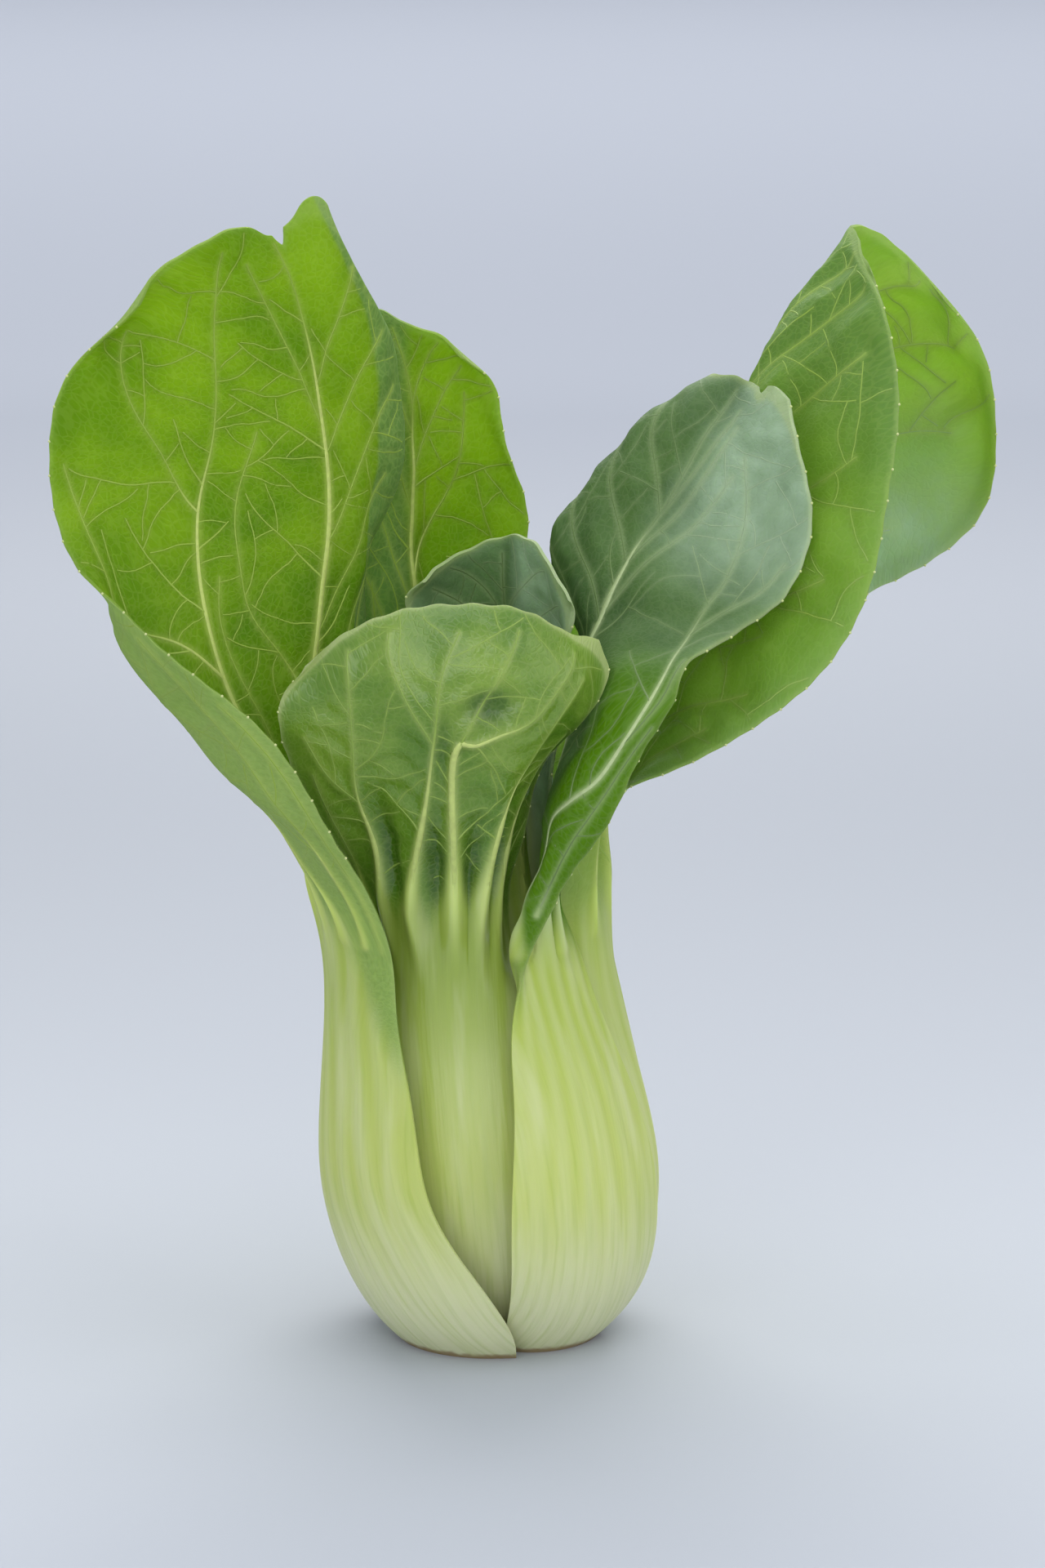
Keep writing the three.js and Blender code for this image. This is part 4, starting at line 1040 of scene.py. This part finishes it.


# Leaf looks: each sets how strong its painted edge highlight and its pale bloom with painted sheen are; the
# glossy look's darker neck is painted shade
looks = {
    "sunlit": {
        "upper": (134, 168, 24), "upperDeep": (66, 110, 0),
        "under": (166, 190, 112), "underDeep": (150, 178, 92),
        "glow": (190, 218, 30), "vein": (200, 216, 112), "rim": 0.2, "fine": 0.22, "cells": 0.1, "bloomSheenAmount": 0.1,
        "through": 0.45, "gloss": 0.55, "shine": 0.12,
    },
    "bloomed": {
        "upper": (80, 114, 42), "upperDeep": (50, 84, 22),
        "under": (86, 116, 60), "underDeep": (64, 96, 38),
        "glow": (104, 148, 26), "vein": (188, 206, 148), "rim": 0.4, "fine": 0.16, "cells": 0.05, "bloomSheenAmount": 1.0,
        "through": 0.24, "gloss": 0.5, "shine": 0.12,
    },
    "meadow": {
        "upper": (142, 178, 48), "upperDeep": (106, 146, 28),
        "under": (168, 194, 68), "underDeep": (144, 174, 50),
        "glow": (184, 218, 34), "vein": (192, 212, 110), "rim": 0.25, "fine": 0.22, "cells": 0.1, "bloomSheenAmount": 0.8,
        "through": 0.48, "gloss": 0.5, "shine": 0.16,
    },
    "glossy": {
        "upper": (122, 158, 44), "upperDeep": (84, 124, 18),
        "under": (142, 172, 64), "underDeep": (88, 130, 26),
        "glow": (150, 186, 34), "vein": (204, 220, 126), "rim": 0.7, "fine": 0.22, "cells": 0.08, "bloomSheenAmount": 0.04,
        # its darker neck colour is painted shade, where its stalk lies in the shade of the leaves in front
        "through": 0.32, "gloss": 0.2, "shine": 0.7, "neck": (138, 160, 60),
    },
    "young": {
        "upper": (160, 190, 64), "upperDeep": (136, 170, 48),
        "under": (168, 196, 88), "underDeep": (146, 178, 66),
        "glow": (190, 215, 60), "vein": (200, 214, 124), "rim": 0.25, "fine": 0.6, "cells": 0.1, "bloomSheenAmount": 0.08,
        "through": 0.4, "gloss": 0.44, "shine": 0.3,
    },
}
stalkLook = {
    "foot": (210, 213, 172), "waist": (184, 195, 108), "neck": (164, 182, 80), "streak": (156, 176, 74),
    "cut": (128, 92, 52), "waistHeight": (0.004, 0.034), "neckHeight": (0.03, 0.075),
    "cutHeight": (-0.0004, 0.0008),
}
# Blade colours: a dark green for painted shade in the pockets, a deep green for painted glow and shade, a duller
# bluish green for painted sheen and shade, a pale bluish green for waxy bloom that is partly painted sheen, and
# a pale green for a painted highlight along the edges
bladeLook = {
    "pocket": (54, 92, 12), "sunny": (84, 128, 0), "cool": (98, 130, 72), "frost": (164, 188, 156),
    "rim": (196, 208, 140), "patchScale": 7.0, "grainScale": 150.0, "cellScale": 95.0, "bloomScale": 26.0,
    "scatter": 0.18, "scatterRadius": (0.5, 0.8, 0.25), "scatterScale": 0.003,
    "bump": 0.35, "bumpDepth": 0.0003,
}
veinLook = {"pore": (214, 222, 150), "bloomSheenVein": (172, 194, 156), "fineGirth": 0.00021, "boldGirth": 0.0004,
            "roughness": 0.5, "through": 0.2}
stumpLook = {"pale": (222, 222, 188), "brown": (190, 168, 122), "fibre": (198, 196, 150), "roughness": 0.7}


class Painter(Nodes):
    # a material with short calls for its colours and masks
    def __init__(self, name):
        self.material = bpy.data.materials.new(name)
        self.material.use_nodes = True
        super().__init__(self.material.node_tree)

    def place(self):
        return self.node("ShaderNodeTexCoord").outputs["Object"]

    def mark(self, name):
        return self.node("ShaderNodeAttribute", {"attribute_name": name}).outputs["Fac"]

    def noise(self, vector, scale, detail):
        return self.node("ShaderNodeTexNoise", Vector=vector, Scale=scale, Detail=detail).outputs["Fac"]

    def mix(self, share, a, b):
        return self.node("ShaderNodeMix", {"data_type": "RGBA"}, i0=share, i6=a, i7=b).outputs[2]

    def glaze(self, colour, mask, amount, tone):
        # lays a tone over a colour where the mask is set
        return self.mix(self.times(mask, amount), colour, tint(*tone))

    def plus(self, a, b):
        return self.math("ADD", a, b)

    def rest(self, share):
        return self.math("SUBTRACT", 1.0, share)

    def ramp(self, value, low, high, a=0.0, b=1.0):
        return self.node("ShaderNodeMapRange", {"interpolation_type": "SMOOTHSTEP"}, Value=value,
                         From_Min=low, From_Max=high, To_Min=a, To_Max=b).outputs[0]

    def stretch(self, vector, scale):
        return self.node("ShaderNodeMapping", Vector=vector, Scale=scale).outputs[0]

    def bump(self, height, strength, depth):
        return self.node("ShaderNodeBump", Height=height, Strength=strength, Distance=depth).outputs[0]

    def letThrough(self, share, skin, through):
        # a surface that lets a share of the light through
        both = self.node("ShaderNodeMixShader", i0=share, i1=skin.outputs[0], i2=through.outputs[0])
        return self.surface(both)

    def surface(self, shader):
        self.node("ShaderNodeOutputMaterial", Surface=shader.outputs[0])
        return self.material


def stalkPaint(p, flat, height, neck):
    # pale stalk: whiter at the foot, greener up, with fine lengthwise streaks
    streaks = p.noise(p.stretch(flat, (95, 5, 1)), 1.0, 4.0)
    broad = p.noise(p.stretch(flat, (24, 3, 1)), 1.0, 3.0)
    body = p.mix(p.ramp(height, *stalkLook["waistHeight"]), tint(*stalkLook["foot"]), tint(*stalkLook["waist"]))
    body = p.mix(p.ramp(height, *stalkLook["neckHeight"]), body, tint(*neck))
    body = p.glaze(body, p.ramp(streaks, 0.42, 0.72), 0.34, stalkLook["streak"])
    body = p.glaze(body, p.ramp(broad, 0.45, 0.7), 0.3, stalkLook["foot"])
    return p.glaze(body, p.mark("ridge"), 0.22, stalkLook["foot"]), streaks


def bladePaint(p, look, flat, patches, grain, mesh):
    # the two faces of a blade, painted shade towards its base and in its pockets, its zones of painted glow,
    # sheen and shade, its cells and net, the pale bloom with painted sheen on top, and a painted highlight along
    # its edges
    upper, under = [p.mix(p.ramp(patches, 0.3, 0.75), tint(*look[key]), tint(*look[key + "Deep"]))
                    for key in ("upper", "under")]
    face, sunny = p.mark("face"), p.mark("sunny")
    colour = p.mix(face, under, upper)
    # painted shade: towards the blade's base the colour turns to the deep tones
    low = p.ramp(p.mark("way"), 0.05, 0.75, 0.9, 0.0)
    colour = p.mix(low, colour, p.mix(face, tint(*look["underDeep"]), tint(*look["upperDeep"])))
    # painted shade in the pockets between the ribs
    colour = p.glaze(colour, p.mark("pocket"), 0.9, bladeLook["pocket"])
    # painted glow and shade: a deep saturated green
    colour = p.glaze(colour, sunny, 0.92, bladeLook["sunny"])
    # painted sheen and shade: a duller bluish green
    colour = p.glaze(colour, p.mark("cool"), 0.75, bladeLook["cool"])
    colour = p.glaze(colour, p.ramp(grain, 0.3, 0.75), 0.22, look["upperDeep"])
    colour = p.glaze(colour, mesh, look["cells"], look["vein"])
    colour = p.glaze(colour, p.mark("net"), 0.1, look["vein"])
    # pale waxy bloom in clouds, partly painted sheen, strongest in the bloom zones
    cloud = p.ramp(p.noise(flat, bladeLook["bloomScale"], 5.0), 0.3, 0.8, 0.72, 1.0)
    bloomSheenAmount = p.times(p.times(cloud, look["bloomSheenAmount"]), p.rest(sunny))
    bloomSheenAmount = p.times(bloomSheenAmount, p.plus(p.times(p.mark("frost"), 0.85), 0.12))
    colour = p.mix(bloomSheenAmount, colour, tint(*bladeLook["frost"]))
    # painted highlight: a pale line along the edges
    return p.glaze(colour, p.mark("rim"), look["rim"], bladeLook["rim"])


def leafFinish(name, look):
    p = Painter(name)
    flat = p.node("ShaderNodeUVMap", {"uv_map": "flat"}).outputs["UV"]
    place, blade = p.place(), p.mark("blade")
    height = p.node("ShaderNodeSeparateXYZ", Vector=place).outputs["Z"]
    patches = p.noise(flat, bladeLook["patchScale"], 3.0)
    grain = p.noise(flat, bladeLook["grainScale"], 3.0)
    cells = p.node("ShaderNodeTexVoronoi", {"feature": "DISTANCE_TO_EDGE"}, Vector=flat,
                   Scale=bladeLook["cellScale"]).outputs["Distance"]
    mesh = p.ramp(cells, 0.02, 0.16, 1.0, 0.0)
    stalkColour, streaks = stalkPaint(p, flat, height, look.get("neck", stalkLook["neck"]))
    colour = p.mix(blade, stalkColour, bladePaint(p, look, flat, patches, grain, mesh))
    colour = p.glaze(colour, p.mark("vein"), 0.85, look["vein"])
    cutLine = p.plus(height, p.times(p.noise(place, 420.0, 2.0), -0.0016))
    colour = p.mix(p.ramp(cutLine, *stalkLook["cutHeight"], 0.75, 0.0), colour, tint(*stalkLook["cut"]))

    bladeBump = p.times(p.plus(p.times(mesh, -0.25), p.times(grain, 0.5)), blade)
    bump = p.bump(p.plus(bladeBump, p.times(streaks, p.rest(blade))), bladeLook["bump"], bladeLook["bumpDepth"])
    rough = p.plus(p.times(patches, 0.16), look["gloss"] - 0.04)
    skin = p.node("ShaderNodeBsdfPrincipled", Base_Color=colour, Roughness=rough, Normal=bump,
                  Subsurface_Weight=bladeLook["scatter"], Subsurface_Radius=bladeLook["scatterRadius"],
                  Subsurface_Scale=bladeLook["scatterScale"], Specular_IOR_Level=look["shine"])
    glow = p.mix(p.times(p.mark("net"), 0.5), tint(*look["glow"]), tint(*look["vein"]))
    through = p.node("ShaderNodeBsdfTranslucent", Color=glow, Normal=bump)
    share = p.times(blade, p.ramp(p.mark("way"), 0.0, 0.7, 0.45 * look["through"], look["through"]))
    for zone, loss in (("cool", 0.6), ("frost", 0.4)):
        share = p.times(share, p.rest(p.times(p.mark(zone), loss)))
    return p.letThrough(share, skin, through)


def veinFinish(name, look):
    p = Painter(name)
    fleck = p.noise(p.place(), 900.0, 2.0)
    pale = p.mix(p.ramp(fleck, 0.3, 0.7), tint(*look["vein"]), tint(*[0.94 * c for c in look["vein"]]))
    fine = p.mix(look["fine"], tint(*look["upper"]), tint(*look["vein"]))
    # the veins take on the pale bloom and its painted sheen too
    fine = p.glaze(fine, p.mark("frost"), 0.8 * look["bloomSheenAmount"], veinLook["bloomSheenVein"])
    colour = p.mix(p.ramp(p.mark("girth"), veinLook["fineGirth"], veinLook["boldGirth"]), fine, pale)
    colour = p.mix(p.mark("pore"), colour, tint(*veinLook["pore"]))
    skin = p.node("ShaderNodeBsdfPrincipled", Base_Color=colour, Roughness=veinLook["roughness"],
                  Normal=p.bump(fleck, 0.2, 0.0001))
    through = p.node("ShaderNodeBsdfTranslucent", Color=colour)
    return p.letThrough(veinLook["through"], skin, through)


def stumpFinish():
    p = Painter("cut stump")
    place = p.place()
    fibre = p.node("ShaderNodeTexVoronoi", Vector=place, Scale=900.0).outputs["Distance"]
    blot = p.ramp(p.noise(place, 140.0, 5.0), 0.42, 0.7)
    colour = p.mix(blot, tint(*stumpLook["pale"]), tint(*stumpLook["brown"]))
    colour = p.glaze(colour, fibre, 0.4, stumpLook["fibre"])
    return p.surface(p.node("ShaderNodeBsdfPrincipled", Base_Color=colour, Roughness=stumpLook["roughness"],
                            Normal=p.bump(fibre, 0.4, 0.0002)))


print("finishes")
leafFinishes = {key: leafFinish("leaf " + key, look) for key, look in looks.items()}
veinFinishes = {key: veinFinish("veins " + key, look) for key, look in looks.items()}
for slot in bpy.data.objects["stem_core"].material_slots:
    slot.material = stumpFinish()

print("leaves")
veinNodes = veinNodeTree()
for sheet in sheets.values():
    look = sheet.leaf["look"]
    skin = leafPiece(sheet, leafFinishes[look])
    lines = veinPiece(sheet, veinNodes, veinFinishes[look])
    print(" ", sheet.name, len(skin.data.polygons) * 2, len(lines.data.polygons) * 2)


# Pale sweep, soft lights and the camera at the photograph's angle
stage = {
    "front": -4.5, "back": 3.5, "bend": 0.8, "bendSteps": 24, "top": 2.4, "half": 4.5,
    # the floor is painted darker where the back light's spill falls and paler far back: painted shade and light
    # that even out the lamps
    "floor": (178, 182, 189), "behind": (149, 153, 160), "far": (203, 206, 212),
    "behindFrom": (-0.1, 0.42), "farFrom": (0.42, 1.25), "roughness": 0.85,
}
lights = {
    "top light": {"place": (0.15, 0.1, 0.95), "aim": (0, 0, 0.1), "size": (1.1, 0.9), "power": 4,
                  "colour": (1, 0.99, 0.96)},
    "back light": {"place": (0, 0.6, 0.6), "aim": (0, 0, 0.12), "size": (0.9, 0.5), "power": 4.5,
                   "colour": (1, 0.99, 0.95)},
    "front light": {"place": (-0.15, -1.0, 0.5), "aim": (0, 0, 0.08), "size": (1.2, 0.9), "power": 5.9,
                    "colour": (0.98, 0.99, 1)},
    "backdrop light": {"place": (0, 2.7, 1.7), "aim": (0, 2.5, 0), "size": (2.6, 1.6), "power": 17,
                       "colour": (0.97, 0.98, 1)},
    "side light": {"place": (0.85, -0.55, 0.35), "aim": (0.03, 0, 0.08), "size": (0.7, 0.7), "power": 1.6,
                   "colour": (1, 1, 0.98)},
}
room = {"colour": (222, 228, 240), "strength": 0.84}


def sweepFloor():
    path = [(stage["front"], 0), (stage["back"], 0)]
    for k in range(1, stage["bendSteps"] + 1):
        turn = math.pi / 2 * k / stage["bendSteps"]
        path.append((stage["back"] + stage["bend"] * math.sin(turn), stage["bend"] * (1 - math.cos(turn))))
    path.append((stage["back"] + stage["bend"], stage["top"]))
    points = [(x, y, z) for y, z in path for x in (-stage["half"], stage["half"])]
    faces = [(2 * k, 2 * k + 1, 2 * k + 3, 2 * k + 2) for k in range(len(path) - 1)]
    mesh = bpy.data.meshes.new("sweep")
    mesh.from_pydata(points, [], faces)
    mesh.polygons.foreach_set("use_smooth", [True] * len(faces))
    floor = bpy.data.objects.new("sweep", mesh)
    bpy.context.scene.collection.objects.link(floor)
    p = Painter("pale sweep")
    place = p.place()
    depth = p.node("ShaderNodeSeparateXYZ", Vector=place).outputs["Y"]
    # painted shade and light: darker under the back light's spill, paler far back
    colour = p.mix(p.ramp(depth, *stage["behindFrom"]), tint(*stage["floor"]), tint(*stage["behind"]))
    colour = p.mix(p.ramp(depth, *stage["farFrom"]), colour, tint(*stage["far"]))
    colour = p.glaze(colour, p.noise(place, 700.0, 2.0), 0.05, [0.9 * c for c in stage["floor"]])
    skin = p.node("ShaderNodeBsdfPrincipled", Base_Color=colour, Roughness=stage["roughness"])
    mesh.materials.append(p.surface(skin))


def softLight(name, values):
    light = bpy.data.lights.new(name, "AREA")
    light.shape = "RECTANGLE"
    light.size, light.size_y = values["size"]
    light.energy, light.color = values["power"], values["colour"]
    lamp = bpy.data.objects.new(name, light)
    lamp.visible_camera = False
    lamp.location = values["place"]
    lamp.rotation_euler = (Vector(values["aim"]) - lamp.location).to_track_quat("-Z", "Y").to_euler()
    bpy.context.scene.collection.objects.link(lamp)


print("stage")
sweepFloor()
for name, values in lights.items():
    softLight(name, values)
world = bpy.data.worlds.new("room")
world.use_nodes = True
background = world.node_tree.nodes["Background"].inputs
background["Color"].default_value = tint(*room["colour"])
background["Strength"].default_value = room["strength"]
bpy.context.scene.world = world
bpy.context.scene.view_settings.view_transform = "Standard"

view = {"target": (0.005, 0, 0.0935), "distance": 0.9, "elevation": 12, "lens": 124.875, "sensor": 36}
lens = bpy.data.cameras.new("camera")
lens.lens, lens.sensor_width = view["lens"], view["sensor"]
camera = bpy.data.objects.new("camera", lens)
rise = math.radians(view["elevation"])
target = Vector(view["target"])
camera.location = target + Vector((0, -math.cos(rise), math.sin(rise))) * view["distance"]
camera.rotation_euler = (target - camera.location).to_track_quat("-Z", "Y").to_euler()
bpy.context.scene.collection.objects.link(camera)
bpy.context.scene.camera = camera
